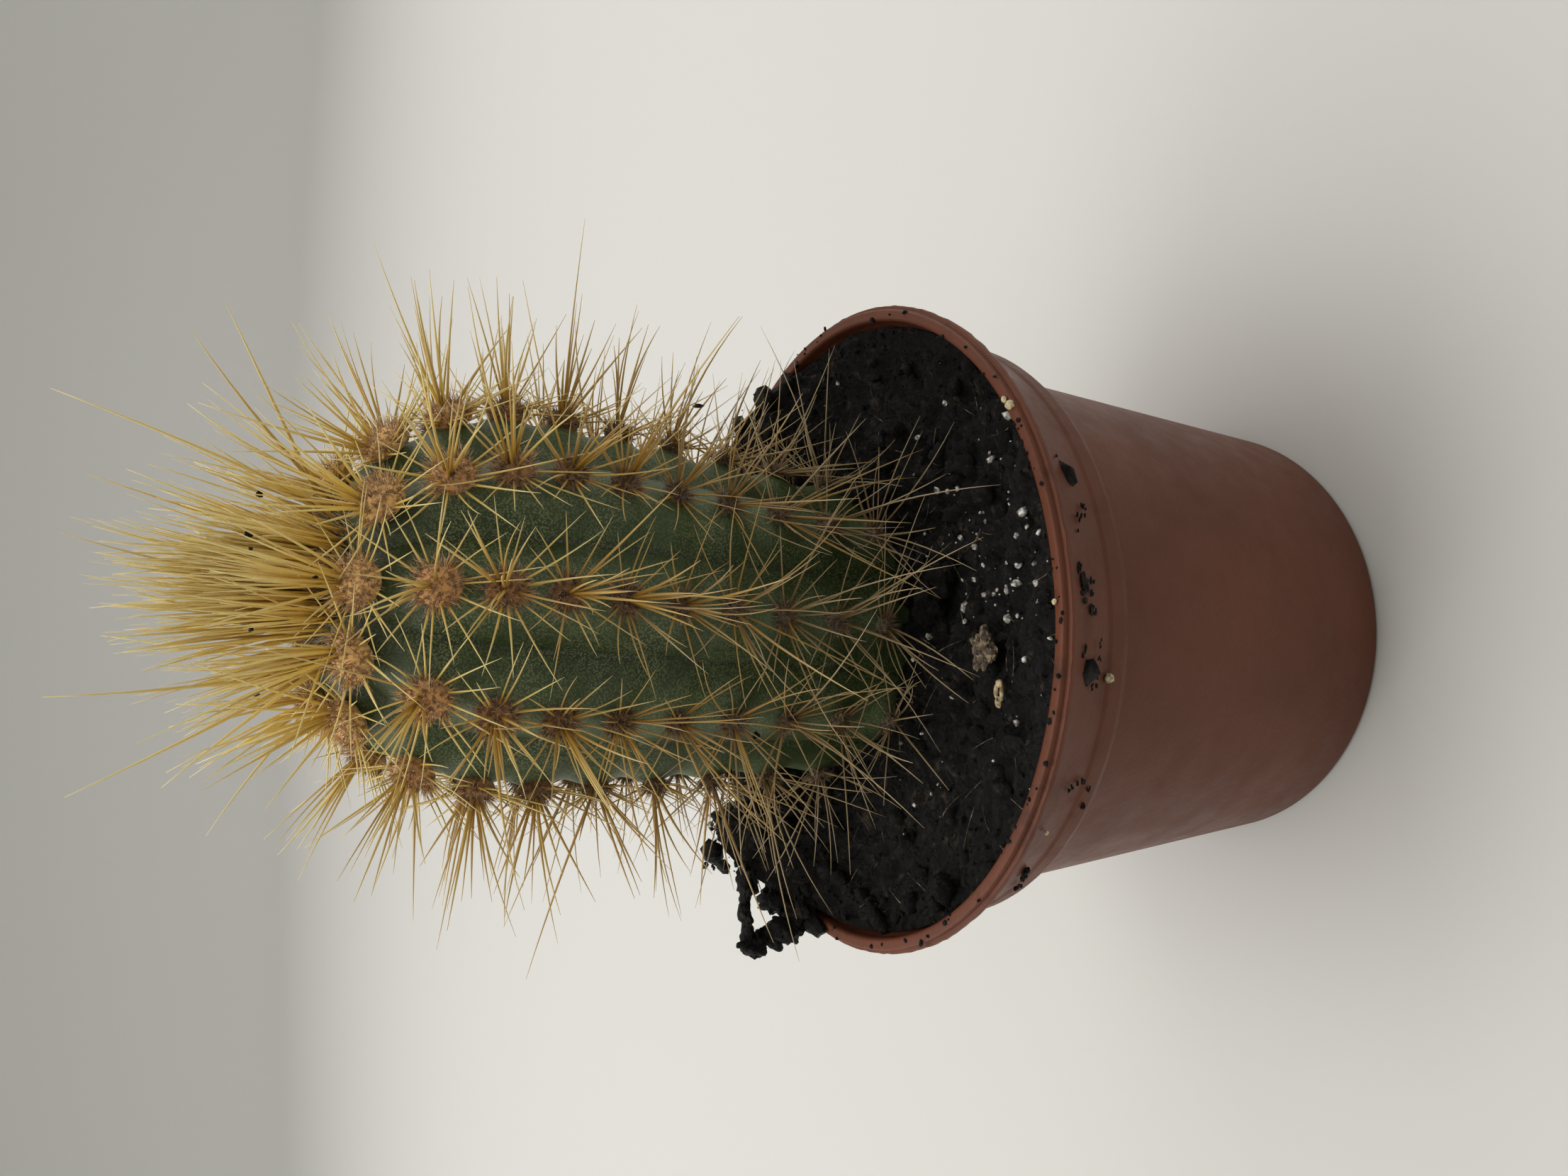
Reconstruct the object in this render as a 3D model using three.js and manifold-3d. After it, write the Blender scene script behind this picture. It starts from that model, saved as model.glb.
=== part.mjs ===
// A young columnar cactus with golden spines, standing in a round plastic nursery pot.
// Millimetres, +Z up, origin at the centre of the pot's foot, -Y is the front.
import * as THREE from 'three';
import { mergeVertices } from 'three/addons/utils/BufferGeometryUtils.js';
import Module from 'manifold-3d';

// ---- driving dimensions ----------------------------------------------------------------------
const GAP = 0.3;                       // clearance between pieces that touch

const POT_HEIGHT = 72.2;
const LIP_RADIUS = 45;                 // outside of the rolled lip
const LIP_THROAT_RADIUS = 42.76;       // inside of the rolled lip
const LIP_DEPTH = 1.8;                 // height of the rolled lip
const WALL = 0.9;
const BAND_TOP_RADIUS = 43.6;          // collar band under the lip
const BAND_FOOT_RADIUS = 41;
const BAND_FOOT_HEIGHT = 59.3;
const BODY_TOP_RADIUS = 38.03;         // tapering body under the band
const BODY_TOP_HEIGHT = 58.1;
const FOOT_RADIUS = 33.05;
const FOOT_ROUNDING = 1.2;
const FOOT_RING_INNER_RADIUS = 28.5;   // the underside rests on a ring and a centre disc
const CENTRE_FOOT_RADIUS = 11;
const UNDERSIDE_RECESS = 1.3;
const FLOOR_TOP = 2.3;
const DRAIN_HOLES = 6;
const DRAIN_HOLE_RADIUS = 3.1;
const DRAIN_CIRCLE_RADIUS = 20;
const POT_SIDES = 48;

const SOIL_LEVEL = 67.2;               // level soil; the heaps stand on top of it
const RIM_RISE = 3;                    // how far the soil has crept up the wall at the sides and back
const SOIL_RINGS = 6;

const STEM_FOOT = new THREE.Vector3(-0.9, 14.7, 66);
const STEM_DIRECTION = new THREE.Vector3(0.063, -0.08, 1).normalize();
const RIBS = 10;
const FIRST_RIB_TURN = THREE.MathUtils.degToRad(1.6);
const BURIED_DEPTH = 12;
const FOOT_CREST_RADIUS = 22;
const SHOULDER_CREST_RADIUS = 24.5;
const SHOULDER_HEIGHT = 54.5;           // where the straight side turns into the dome
const DOME_HEIGHT = 23.1;
const RIB_DEPTH_AT_FOOT = 2;
const RIB_DEPTH_AT_SHOULDER = 4.2;
const SCALLOP_DEPTH = 1.1;
const COLUMNS_PER_RIB = 4;

// Highest areole of each rib and the first spacing below it, front rib first. Areoles grow
// further apart with age, so each spacing down a rib is longer than the one above.
const AREOLE_TOPS = [74.6, 72.9, 71.2, 74, 72.2, 74.8, 71.8, 73.6, 72.7, 74.2];
const AREOLE_SPACINGS = [6.2, 6.1, 6.8, 6.5, 6.7, 6.3, 6.8, 6.4, 7.2, 6.75];
const SPACING_GROWTH = 0.148;
const MODELLED_TIERS = [0, 2, 4, 6, 8]; // every second areole down a rib carries a modelled cluster
const CUSHION_RADIUS = 2.3;
const CUSHION_HEIGHT = 1.5;
const SPINE_ROOT_RADIUS = 0.4;
const RADIAL_SPINE_LENGTH = 9;
const RADIAL_SPINE_TILT = 56;          // degrees off the cushion's normal
const CENTRAL_SPINE_LENGTH = 24;
const CENTRAL_SPINE_TILT = 10;
const LOWEST_CENTRAL_TILT = 24;        // keeps the lowest long spines clear of the soil
const CROWN_CUSHION_RADIUS = 4.2;
const CROWN_SPINE_LENGTH = 22;
const CROWN_WHORLS = [                 // number of spines and their tilt off the stem's axis
  [1, 0],
  [5, 12],
  [7, 26],
];

// ---- materials -------------------------------------------------------------------------------
const plastic = { color: 0x7a4a38, roughness: 0.5, metalness: 0 };
const peat = { color: 0x17150f, roughness: 0.95, metalness: 0 };
const skin = { color: 0x3f5733, roughness: 0.55, metalness: 0 };
const spineGold = { color: 0xb8934a, roughness: 0.45, metalness: 0 };
const bark = { color: 0x8a7a62, roughness: 0.9, metalness: 0 };

// ---- solids ----------------------------------------------------------------------------------
const wasm = await Module();
wasm.setup();

function toSolid(geometry) {
  const bare = geometry.index ? geometry.toNonIndexed() : geometry.clone();
  bare.deleteAttribute('normal');
  bare.deleteAttribute('uv');
  const merged = mergeVertices(bare, 1e-4);
  const vertProperties = new Float32Array(merged.attributes.position.array);
  const triVerts = new Uint32Array(merged.index.array);
  return new wasm.Manifold(new wasm.Mesh({ numProp: 3, vertProperties, triVerts }));
}

function toGeometry(solid) {
  const mesh = solid.getMesh();
  const geometry = new THREE.BufferGeometry();
  geometry.setAttribute('position', new THREE.BufferAttribute(mesh.vertProperties, 3));
  geometry.setIndex(new THREE.BufferAttribute(mesh.triVerts, 1));
  geometry.computeVertexNormals();
  return geometry;
}

// A closed skin over rings of points, each end drawn in to one pole.
function skinOverRings(firstPole, rings, lastPole) {
  const count = rings[0].length;
  const points = [firstPole, ...rings.flat(), lastPole];
  const last = points.length - 1;
  const faces = [];
  for (let i = 0; i < count; i++) {
    const next = (i + 1) % count;
    faces.push(0, 1 + next, 1 + i);
    for (let row = 0; row < rings.length - 1; row++) {
      const low = 1 + row * count;
      const high = low + count;
      faces.push(low + i, low + next, high + next, low + i, high + next, high + i);
    }
    const top = 1 + (rings.length - 1) * count;
    faces.push(top + i, top + next, last);
  }
  const geometry = new THREE.BufferGeometry();
  geometry.setAttribute('position', new THREE.Float32BufferAttribute(points.flatMap(p => p.toArray()), 3));
  geometry.setIndex(faces);
  geometry.computeVertexNormals();
  return geometry;
}

const plant = new THREE.Group();

function addPiece(name, geometry, finish) {
  const mesh = new THREE.Mesh(geometry, new THREE.MeshStandardMaterial(finish));
  mesh.name = name;
  plant.add(mesh);
  return mesh;
}

// ---- pot -------------------------------------------------------------------------------------
function innerBodyRadius(height) {
  const rise = (height - FLOOR_TOP) / (BODY_TOP_HEIGHT - FLOOR_TOP);
  return THREE.MathUtils.lerp(FOOT_RADIUS, BODY_TOP_RADIUS, rise) - WALL;
}

function innerBandRadius(height) {
  const rise = (height - BAND_FOOT_HEIGHT) / (POT_HEIGHT - LIP_DEPTH - BAND_FOOT_HEIGHT);
  return THREE.MathUtils.lerp(BAND_FOOT_RADIUS, BAND_TOP_RADIUS, Math.min(rise, 1)) - WALL;
}

function makePot() {
  const lipMiddle = (LIP_RADIUS + LIP_THROAT_RADIUS) / 2;
  const bead = LIP_DEPTH / 3;
  const outline = [
    [0, 0],
    [CENTRE_FOOT_RADIUS, 0],
    [CENTRE_FOOT_RADIUS + UNDERSIDE_RECESS, UNDERSIDE_RECESS],
    [FOOT_RING_INNER_RADIUS, UNDERSIDE_RECESS],
    [FOOT_RING_INNER_RADIUS + UNDERSIDE_RECESS, 0],
    [FOOT_RADIUS - FOOT_ROUNDING, 0],
    [FOOT_RADIUS, FOOT_ROUNDING],
    [BODY_TOP_RADIUS, BODY_TOP_HEIGHT],
    [BAND_FOOT_RADIUS - WALL, BODY_TOP_HEIGHT + WALL / 2],
    [BAND_FOOT_RADIUS, BAND_FOOT_HEIGHT],
    [BAND_TOP_RADIUS, POT_HEIGHT - LIP_DEPTH],
    [LIP_RADIUS, POT_HEIGHT - LIP_DEPTH + bead / 2],
    [LIP_RADIUS, POT_HEIGHT - bead],
    [lipMiddle, POT_HEIGHT],
    [LIP_THROAT_RADIUS, POT_HEIGHT - bead],
    [innerBandRadius(POT_HEIGHT - LIP_DEPTH), POT_HEIGHT - LIP_DEPTH],
    [innerBandRadius(BAND_FOOT_HEIGHT + WALL), BAND_FOOT_HEIGHT + WALL],
    [innerBodyRadius(BODY_TOP_HEIGHT), BODY_TOP_HEIGHT + WALL],
    [innerBodyRadius(FLOOR_TOP), FLOOR_TOP],
    [0, FLOOR_TOP],
  ];
  const turned = new THREE.LatheGeometry(outline.map(([r, z]) => new THREE.Vector2(r, z)), POT_SIDES);
  turned.rotateX(Math.PI / 2);
  let shell = toSolid(turned);
  for (let i = 0; i < DRAIN_HOLES; i++) {
    const turn = (i * 2 * Math.PI) / DRAIN_HOLES;
    const drill = new THREE.CylinderGeometry(DRAIN_HOLE_RADIUS, DRAIN_HOLE_RADIUS, 4 * FLOOR_TOP, 10);
    drill.rotateX(Math.PI / 2);
    drill.translate(DRAIN_CIRCLE_RADIUS * Math.cos(turn), DRAIN_CIRCLE_RADIUS * Math.sin(turn), 0);
    shell = shell.subtract(toSolid(drill));
  }
  addPiece('pot', toGeometry(shell), plastic);
}

// ---- stem ------------------------------------------------------------------------------------
const stemSide = new THREE.Vector3(1, 0, 0).projectOnPlane(STEM_DIRECTION).normalize();
const stemBack = new THREE.Vector3().crossVectors(STEM_DIRECTION, stemSide);

function stemOutward(turn) {
  const side = stemSide.clone().multiplyScalar(Math.sin(turn));
  return side.addScaledVector(stemBack, -Math.cos(turn));
}

function stemPoint(height, turn, radius) {
  return STEM_FOOT.clone().addScaledVector(STEM_DIRECTION, height).addScaledVector(stemOutward(turn), radius);
}

function ribTurn(rib) {
  return FIRST_RIB_TURN + (rib * 2 * Math.PI) / RIBS;
}

function crestRadius(height) {
  if (height >= SHOULDER_HEIGHT) {
    const rise = Math.min((height - SHOULDER_HEIGHT) / DOME_HEIGHT, 1);
    return SHOULDER_CREST_RADIUS * Math.sqrt(1 - rise * rise);
  }
  if (height < 0) {
    const drop = -height / BURIED_DEPTH;
    return FOOT_CREST_RADIUS * Math.sqrt(1 - 0.9 * drop * drop);
  }
  const swell = THREE.MathUtils.smoothstep(height, 0, SHOULDER_HEIGHT);
  return THREE.MathUtils.lerp(FOOT_CREST_RADIUS, SHOULDER_CREST_RADIUS, swell);
}

function areoleHeight(rib, tier) {
  return AREOLE_TOPS[rib] - tier * (AREOLE_SPACINGS[rib] + SPACING_GROWTH * tier);
}

// The tier, as a fraction, that a height along a rib stands at.
function tierAt(rib, height) {
  const spacing = AREOLE_SPACINGS[rib];
  const below = Math.max(AREOLE_TOPS[rib] - height, 0);
  return (Math.sqrt(spacing * spacing + 4 * SPACING_GROWTH * below) - spacing) / (2 * SPACING_GROWTH);
}

// The rib's crest stands proud at each areole and dips between two; the valley is a plain crease.
function stemRadius(height, rib, acrossRib) {
  const crest = crestRadius(height);
  const rise = THREE.MathUtils.clamp(height / SHOULDER_HEIGHT, 0, 1);
  const depth = THREE.MathUtils.lerp(RIB_DEPTH_AT_FOOT, RIB_DEPTH_AT_SHOULDER, rise);
  const domeShare = Math.min(crest / SHOULDER_CREST_RADIUS, 1);
  const wave = 0.5 - 0.5 * Math.cos(2 * Math.PI * tierAt(rib, height));
  const scallop = SCALLOP_DEPTH * wave * (1 - acrossRib);
  return crest - domeShare * (depth * Math.pow(acrossRib, 1.7) + scallop);
}

function makeStem() {
  const heights = [-BURIED_DEPTH, -0.6 * BURIED_DEPTH];
  const sideRows = 24;
  for (let row = 0; row < sideRows; row++) {
    heights.push((row * SHOULDER_HEIGHT) / sideRows);
  }
  const domeRows = 8;
  for (let row = 0; row < domeRows; row++) {
    heights.push(SHOULDER_HEIGHT + DOME_HEIGHT * Math.sin((row * Math.PI) / (2 * domeRows)));
  }
  const columns = RIBS * COLUMNS_PER_RIB;
  const rings = heights.map(height => {
    const ring = [];
    for (let column = 0; column < columns; column++) {
      const rib = Math.floor((column + COLUMNS_PER_RIB / 2) / COLUMNS_PER_RIB) % RIBS;
      const offset = column - rib * COLUMNS_PER_RIB;
      const steps = Math.min(Math.abs(offset), Math.abs(offset - columns));
      const radius = stemRadius(height, rib, steps / (COLUMNS_PER_RIB / 2));
      ring.push(stemPoint(height, FIRST_RIB_TURN + (column * 2 * Math.PI) / columns, radius));
    }
    return ring;
  });
  const root = stemPoint(-BURIED_DEPTH, 0, 0);
  const apex = stemPoint(SHOULDER_HEIGHT + DOME_HEIGHT, 0, 0);
  addPiece('stem', skinOverRings(root, rings, apex), skin);
}

// ---- soil ------------------------------------------------------------------------------------
function heap(x, y, centreX, centreY, height, spread) {
  return height * Math.exp(-((x - centreX) ** 2 + (y - centreY) ** 2) / (2 * spread ** 2));
}

// The soil has crept up the wall at the sides and the back, and lies low along the front.
function rimRise(x, y) {
  const distance = Math.max(Math.hypot(x, y), 1);
  const share = Math.min(Math.max((distance - 33) / 9, 0), 1);
  const side = Math.min(Math.max(1 + y / distance, 0), 1);
  return RIM_RISE * share * share * (3 - 2 * share) * side;
}

function soilTop(x, y) {
  const behindLeft = heap(x, y, -34, 19, 13, 8);
  const behindRight = heap(x, y, 32, 27, 7.5, 8);
  const frontHollow = heap(x, y, 20, -18, -1.5, 11);
  return SOIL_LEVEL + behindLeft + behindRight + frontHollow + rimRise(x, y) + 0.5 * Math.sin(0.35 * x) * Math.cos(0.4 * y);
}

// Where the soil meets the pot's wall; above the lip a heap leans in from the edge.
function soilEdge(turn, heightLimit) {
  const side = new THREE.Vector3(Math.sin(turn), -Math.cos(turn), 0);
  const height = Math.min(soilTop(LIP_THROAT_RADIUS * side.x, LIP_THROAT_RADIUS * side.y), heightLimit);
  const overhang = Math.max(height - (POT_HEIGHT - LIP_DEPTH), 0);
  const radius = innerBandRadius(height) - 2 * GAP - 0.35 * overhang;
  return side.multiplyScalar(radius * Math.cos(Math.PI / POT_SIDES)).setZ(height);
}

function makeSoil() {
  const bottom = FLOOR_TOP + GAP;
  const stepFoot = BAND_FOOT_HEIGHT + WALL;
  const wall = [
    [innerBodyRadius(bottom), bottom],
    [innerBodyRadius(BODY_TOP_HEIGHT), BODY_TOP_HEIGHT + WALL],
    [innerBandRadius(stepFoot) - GAP, stepFoot + 3 * GAP],
  ];
  const ringOf = pointAt => Array.from({ length: POT_SIDES }, (_, i) => pointAt((i * 2 * Math.PI) / POT_SIDES));
  const inset = Math.cos(Math.PI / POT_SIDES);
  const rings = wall.map(([radius, height]) => ringOf(turn => {
    const side = new THREE.Vector3(Math.sin(turn), -Math.cos(turn), 0);
    return side.multiplyScalar((radius - 2 * GAP) * inset).setZ(height);
  }));
  rings.push(ringOf(turn => soilEdge(turn, SOIL_LEVEL - 2)));
  const rim = ringOf(turn => soilEdge(turn, Infinity));
  rings.push(rim);
  const socket = ringOf(turn => stemPoint(1, turn, crestRadius(1) + 2 * GAP));
  for (let step = 1; step <= SOIL_RINGS; step++) {
    rings.push(rim.map((point, i) => {
      const inner = point.clone().lerp(socket[i], step / SOIL_RINGS);
      inner.z = soilTop(inner.x, inner.y);
      return inner;
    }));
  }
  for (const depth of [0.25, 0.6, 1]) {
    const height = -depth * BURIED_DEPTH;
    const radius = crestRadius(height) + 2 * GAP;
    rings.push(ringOf(turn => stemPoint(height - GAP, turn, radius)));
  }
  const floorCentre = new THREE.Vector3(0, 0, bottom);
  const socketFloor = stemPoint(-BURIED_DEPTH - GAP, 0, 0);
  addPiece('potting_soil', skinOverRings(floorCentre, rings, socketFloor), peat);
}

// A lumpy flattened ball, for the loose bits that lie on the soil.
function makeLump(name, centre, halfSize, lumpiness, finish) {
  const sides = 9;
  const rows = 4;
  const rings = [];
  for (let row = 1; row <= rows; row++) {
    const rise = -Math.PI / 2 + (row * Math.PI) / (rows + 1);
    const ring = [];
    for (let i = 0; i < sides; i++) {
      const turn = (i * 2 * Math.PI) / sides;
      const lump = 1 + lumpiness * Math.sin(3 * turn + 2 * row) + lumpiness * Math.cos(2 * turn - 3 * row);
      const x = halfSize.x * lump * Math.cos(rise) * Math.cos(turn);
      const y = halfSize.y * lump * Math.cos(rise) * Math.sin(turn);
      ring.push(new THREE.Vector3(x, y, halfSize.z * Math.sin(rise)));
    }
    rings.push(ring);
  }
  const bottom = new THREE.Vector3(0, 0, -halfSize.z);
  const top = new THREE.Vector3(0, 0, halfSize.z);
  addPiece(name, skinOverRings(bottom, rings, top), finish).position.copy(centre);
}

function restOnSoil(x, y, halfHeight) {
  return new THREE.Vector3(x, y, soilTop(x, y) + halfHeight + GAP);
}

// ---- areoles and spines ----------------------------------------------------------------------
function cushionGeometry(radius, height, sides) {
  const ringAt = (share, z) => {
    const ring = [];
    for (let i = 0; i < sides; i++) {
      const turn = (i * 2 * Math.PI) / sides;
      ring.push(new THREE.Vector3(share * radius * Math.cos(turn), share * radius * Math.sin(turn), z));
    }
    return ring;
  };
  const rings = [ringAt(1, 0), ringAt(0.85, 0.6 * height)];
  return skinOverRings(new THREE.Vector3(0, 0, 0), rings, new THREE.Vector3(0, 0, height));
}

// One spine from the middle of a cushion: tilt is its angle off the cushion's normal (+Z) and
// turn its bearing about that normal, from +Y, which points up the stem.
function spineSolid(length, tilt, turn, rootHeight) {
  const cone = new THREE.ConeGeometry(SPINE_ROOT_RADIUS, length, 3);
  cone.rotateX(Math.PI / 2);
  cone.translate(0, 0, length / 2);
  cone.rotateX(-THREE.MathUtils.degToRad(tilt));
  cone.rotateZ(-THREE.MathUtils.degToRad(turn));
  cone.translate(0, 0, rootHeight);
  return toSolid(cone);
}

function placeOnStem(mesh, point, outward) {
  const upStem = STEM_DIRECTION.clone().projectOnPlane(outward).normalize();
  const side = new THREE.Vector3().crossVectors(upStem, outward);
  mesh.applyMatrix4(new THREE.Matrix4().makeBasis(side, upStem, outward).setPosition(point));
}

function crestNormal(height, turn) {
  const step = 0.05;
  const slope = (crestRadius(height + step) - crestRadius(height - step)) / (2 * step);
  return stemOutward(turn).addScaledVector(STEM_DIRECTION, -slope).normalize();
}

function makeCluster(rib, tier) {
  const height = areoleHeight(rib, tier);
  const turn = ribTurn(rib);
  const outward = crestNormal(height, turn);
  const point = stemPoint(height, turn, crestRadius(height)).addScaledVector(outward, GAP);
  const isLowest = tier === MODELLED_TIERS.at(-1);
  const bearings = isLowest ? [0, -75, 75] : [0, -72, 72, -144, 144];
  let cluster = toSolid(cushionGeometry(CUSHION_RADIUS, CUSHION_HEIGHT, 6));
  for (const bearing of bearings) {
    cluster = cluster.add(spineSolid(RADIAL_SPINE_LENGTH, RADIAL_SPINE_TILT, bearing, CUSHION_HEIGHT / 2));
  }
  const centralTilt = isLowest ? LOWEST_CENTRAL_TILT : CENTRAL_SPINE_TILT;
  cluster = cluster.add(spineSolid(CENTRAL_SPINE_LENGTH, centralTilt, 0, CUSHION_HEIGHT / 2));
  const name = `spine_cluster_rib${rib + 1}_tier${tier + 1}`;
  placeOnStem(addPiece(name, toGeometry(cluster), spineGold), point, outward);
}

function makeCrownTuft() {
  const apex = stemPoint(SHOULDER_HEIGHT + DOME_HEIGHT, 0, 0).addScaledVector(STEM_DIRECTION, GAP);
  let tuft = toSolid(cushionGeometry(CROWN_CUSHION_RADIUS, CUSHION_HEIGHT, 9));
  for (const [count, tilt] of CROWN_WHORLS) {
    for (let i = 0; i < count; i++) {
      const bearing = (i * 360) / count + tilt;
      tuft = tuft.add(spineSolid(CROWN_SPINE_LENGTH - tilt / 5, tilt, bearing, CUSHION_HEIGHT / 2));
    }
  }
  const mesh = addPiece('crown_tuft', toGeometry(tuft), spineGold);
  mesh.applyMatrix4(new THREE.Matrix4().makeBasis(stemSide, stemBack, STEM_DIRECTION).setPosition(apex));
}

// ---- the whole object ------------------------------------------------------------------------
makePot();
makeSoil();
makeStem();
for (let rib = 0; rib < RIBS; rib++) {
  for (const tier of MODELLED_TIERS) {
    makeCluster(rib, tier);
  }
}
makeCrownTuft();
const clodHalfSize = new THREE.Vector3(3, 3.4, 4.2);
const clodCentre = new THREE.Vector3(-44.8, 10.5, POT_HEIGHT + GAP + clodHalfSize.z);
makeLump('soil_clod', clodCentre, clodHalfSize, 0.13, peat);
makeLump('bark_chip', restOnSoil(-2.6, -26, 0.9), new THREE.Vector3(2.6, 2.2, 0.9), 0.1, bark);
makeLump('seed_husk', restOnSoil(-8, -28.5, 0.6), new THREE.Vector3(1.7, 1.1, 0.6), 0.08, bark);

export default plant;
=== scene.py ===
"""Potted columnar cactus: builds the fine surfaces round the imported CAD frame.

Lengths are metres, +Z is up and -Y is the front of the plant. Each piece has its own operator,
listed in the sidebar's Potted Cactus tab, and main() runs them all in order.
"""
import math

import bmesh
import bpy
import numpy as np
from bpy.props import FloatProperty, FloatVectorProperty, IntProperty, PointerProperty
from mathutils import Matrix, Vector, noise


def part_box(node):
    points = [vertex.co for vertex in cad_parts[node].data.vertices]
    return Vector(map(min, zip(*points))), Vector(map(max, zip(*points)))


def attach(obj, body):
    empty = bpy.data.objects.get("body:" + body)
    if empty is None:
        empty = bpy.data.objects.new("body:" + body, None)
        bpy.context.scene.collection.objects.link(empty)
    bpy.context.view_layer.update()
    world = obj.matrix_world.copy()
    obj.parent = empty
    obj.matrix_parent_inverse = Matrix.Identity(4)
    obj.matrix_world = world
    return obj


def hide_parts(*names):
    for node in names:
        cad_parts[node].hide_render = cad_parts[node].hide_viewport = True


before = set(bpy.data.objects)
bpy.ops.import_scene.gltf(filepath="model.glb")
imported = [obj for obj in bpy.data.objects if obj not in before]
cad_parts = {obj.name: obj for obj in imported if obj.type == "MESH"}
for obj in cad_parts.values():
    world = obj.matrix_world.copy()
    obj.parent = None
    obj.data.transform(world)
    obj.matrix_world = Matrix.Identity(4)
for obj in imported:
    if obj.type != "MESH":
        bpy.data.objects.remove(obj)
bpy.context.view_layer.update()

bl_info = {
    "name": "Potted Columnar Cactus",
    "version": (1, 0, 0),
    "blender": (4, 5, 0),
    "location": "3D View > Sidebar > Potted Cactus",
    "description": "Ribbed golden-spined cactus in a plastic nursery pot",
    "category": "Object",
}

MM = 0.001
BODY = "root"
POT_LOW, POT_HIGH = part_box("pot")
LIP_TOP = POT_HIGH.z
LIP_RADIUS = (POT_HIGH.x - POT_LOW.x) / 2

# The stem's rule, as in the CAD source: where it stands, how it leans and where its areoles sit.
STEM_FOOT = Vector((-0.9, 14.7, 66)) * MM
STEM_DIRECTION = Vector((0.063, -0.08, 1)).normalized()
STEM_SIDE = (Vector((1, 0, 0)) - STEM_DIRECTION * STEM_DIRECTION.x).normalized()
STEM_BACK = STEM_DIRECTION.cross(STEM_SIDE)
RIBS = 10
TIERS = 10
FIRST_RIB_TURN = math.radians(1.6)
AREOLE_TOPS = [74.6, 72.9, 71.2, 74, 72.2, 74.8, 71.8, 73.6, 72.7, 74.2]
AREOLE_SPACINGS = [6.2, 6.1, 6.8, 6.5, 6.7, 6.3, 6.8, 6.4, 7.2, 6.75]
SPACING_GROWTH = 0.148


# ---- settings ------------------------------------------------------------------------------------
def length(name, description, millimetres):
    return FloatProperty(name=name, description=description, default=millimetres * MM, unit="LENGTH")


def hex_to_linear(code):
    """An sRGB hex colour as linear red, green, blue and alpha."""
    parts = [int(code[i:i + 2], 16) / 255 for i in (0, 2, 4)]
    return [p / 12.92 if p <= 0.04045 else ((p + 0.055) / 1.055) ** 2.4 for p in parts] + [1.0]


def colour(name, description, code):
    return FloatVectorProperty(
        name=name, description=description, subtype="COLOR", size=4,
        min=0, max=1, default=hex_to_linear(code))


class PotSettings(bpy.types.PropertyGroup):
    """Sizes and colour of the nursery pot."""
    throat_radius: length("Throat radius", "Inside of the rolled lip", 42.76)
    lip_depth: length("Lip depth", "Height of the rolled lip", 1.8)
    wall: length("Wall", "Thickness of the moulded wall", 0.9)
    band_top_radius: length("Band top radius", "Collar band just under the lip", 43.6)
    band_foot_radius: length("Band foot radius", "Collar band at its lower edge", 41)
    band_foot_height: length("Band foot height", "Height of the band's lower edge", 59.3)
    body_top_radius: length("Body top radius", "Tapering body under the band", 38.03)
    body_top_height: length("Body top height", "Where the body meets the band", 58.1)
    foot_radius: length("Foot radius", "Outside of the foot", 33.05)
    floor_top: length("Floor top", "Upper face of the pot's floor", 2.3)
    plastic: colour("Plastic", "Colour of the moulded plastic", "683a27")


class StemSettings(bpy.types.PropertyGroup):
    """Shape and colours of the ribbed stem."""
    foot_radius: length("Foot radius", "Crest radius at the soil", 22)
    shoulder_radius: length("Shoulder radius", "Crest radius where the dome begins", 24.5)
    shoulder_height: length("Shoulder height", "Straight side, along the stem", 54.5)
    dome_height: length("Dome height", "From the shoulder to the growing point", 23.1)
    rib_depth_foot: length("Rib depth at the foot", "Crest to valley", 2)
    rib_depth_shoulder: length("Rib depth at the shoulder", "Crest to valley", 3.7)
    scallop: length("Scallop", "Dip of the crest between two areoles", 1.1)
    skin: colour("Skin", "Green of the waxy skin", "36491f")
    bloom: colour("Bloom", "Blue-grey wax on the crests", "7d8d69")


class SpineSettings(bpy.types.PropertyGroup):
    """Number, size and colours of the spines and the felt."""
    radials: IntProperty(name="Radials", description="Spines spread round each areole", default=15)
    centrals: IntProperty(name="Centrals", description="Long spines from each areole", default=11)
    crown: IntProperty(name="Crown spines", description="Upright spines on the growing point", default=360)
    felt_hairs: IntProperty(name="Felt hairs", description="Wool hairs on each areole", default=165)
    root_radius: length("Root radius", "Half the thickness of a spine at its root", 0.24)
    young: colour("Young spine", "Green-gold of new spines", "ecca60")
    middle: colour("Grown spine", "Amber of grown spines", "b08738")
    old: colour("Old spine", "Bone grey of the lowest spines", "8f7750")
    seed: IntProperty(name="Seed", description="Fixes every random draw", default=7)


class SoilSettings(bpy.types.PropertyGroup):
    """The peat mix and what lies in it."""
    level: length("Level", "Height of the level soil", 67.2)
    crumbs: IntProperty(name="Crumbs", description="Loose peat crumbs on the surface", default=2600)
    lumps: IntProperty(name="Lumps", description="Crumbs that are big lumps", default=190)
    perlite: IntProperty(name="Perlite", description="White grains on the surface", default=135)
    fibres: IntProperty(name="Fibres", description="Root and peat fibres", default=130)
    peat: colour("Peat", "Moist peat", "0e0c0b")
    seed: IntProperty(name="Seed", description="Fixes every random draw", default=21)


class StageSettings(bpy.types.PropertyGroup):
    """Floor, light and camera."""
    camera_distance: length("Camera distance", "In front of the pot's axis", 144.65)
    camera_height: length("Camera height", "Above the floor", 164.18)
    tilt: FloatProperty(name="Tilt", description="Looks down by this", default=0.5143, subtype="ANGLE")
    turn: FloatProperty(name="Turn", description="Looks right by this", default=0.0357, subtype="ANGLE")
    roll: FloatProperty(name="Roll", description="Leans by this", default=-0.0306, subtype="ANGLE")
    lens: FloatProperty(name="Lens", description="Focal length in mm", default=27.67)
    floor: colour("Floor", "Pale seamless paper", "cdcdc9")


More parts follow.
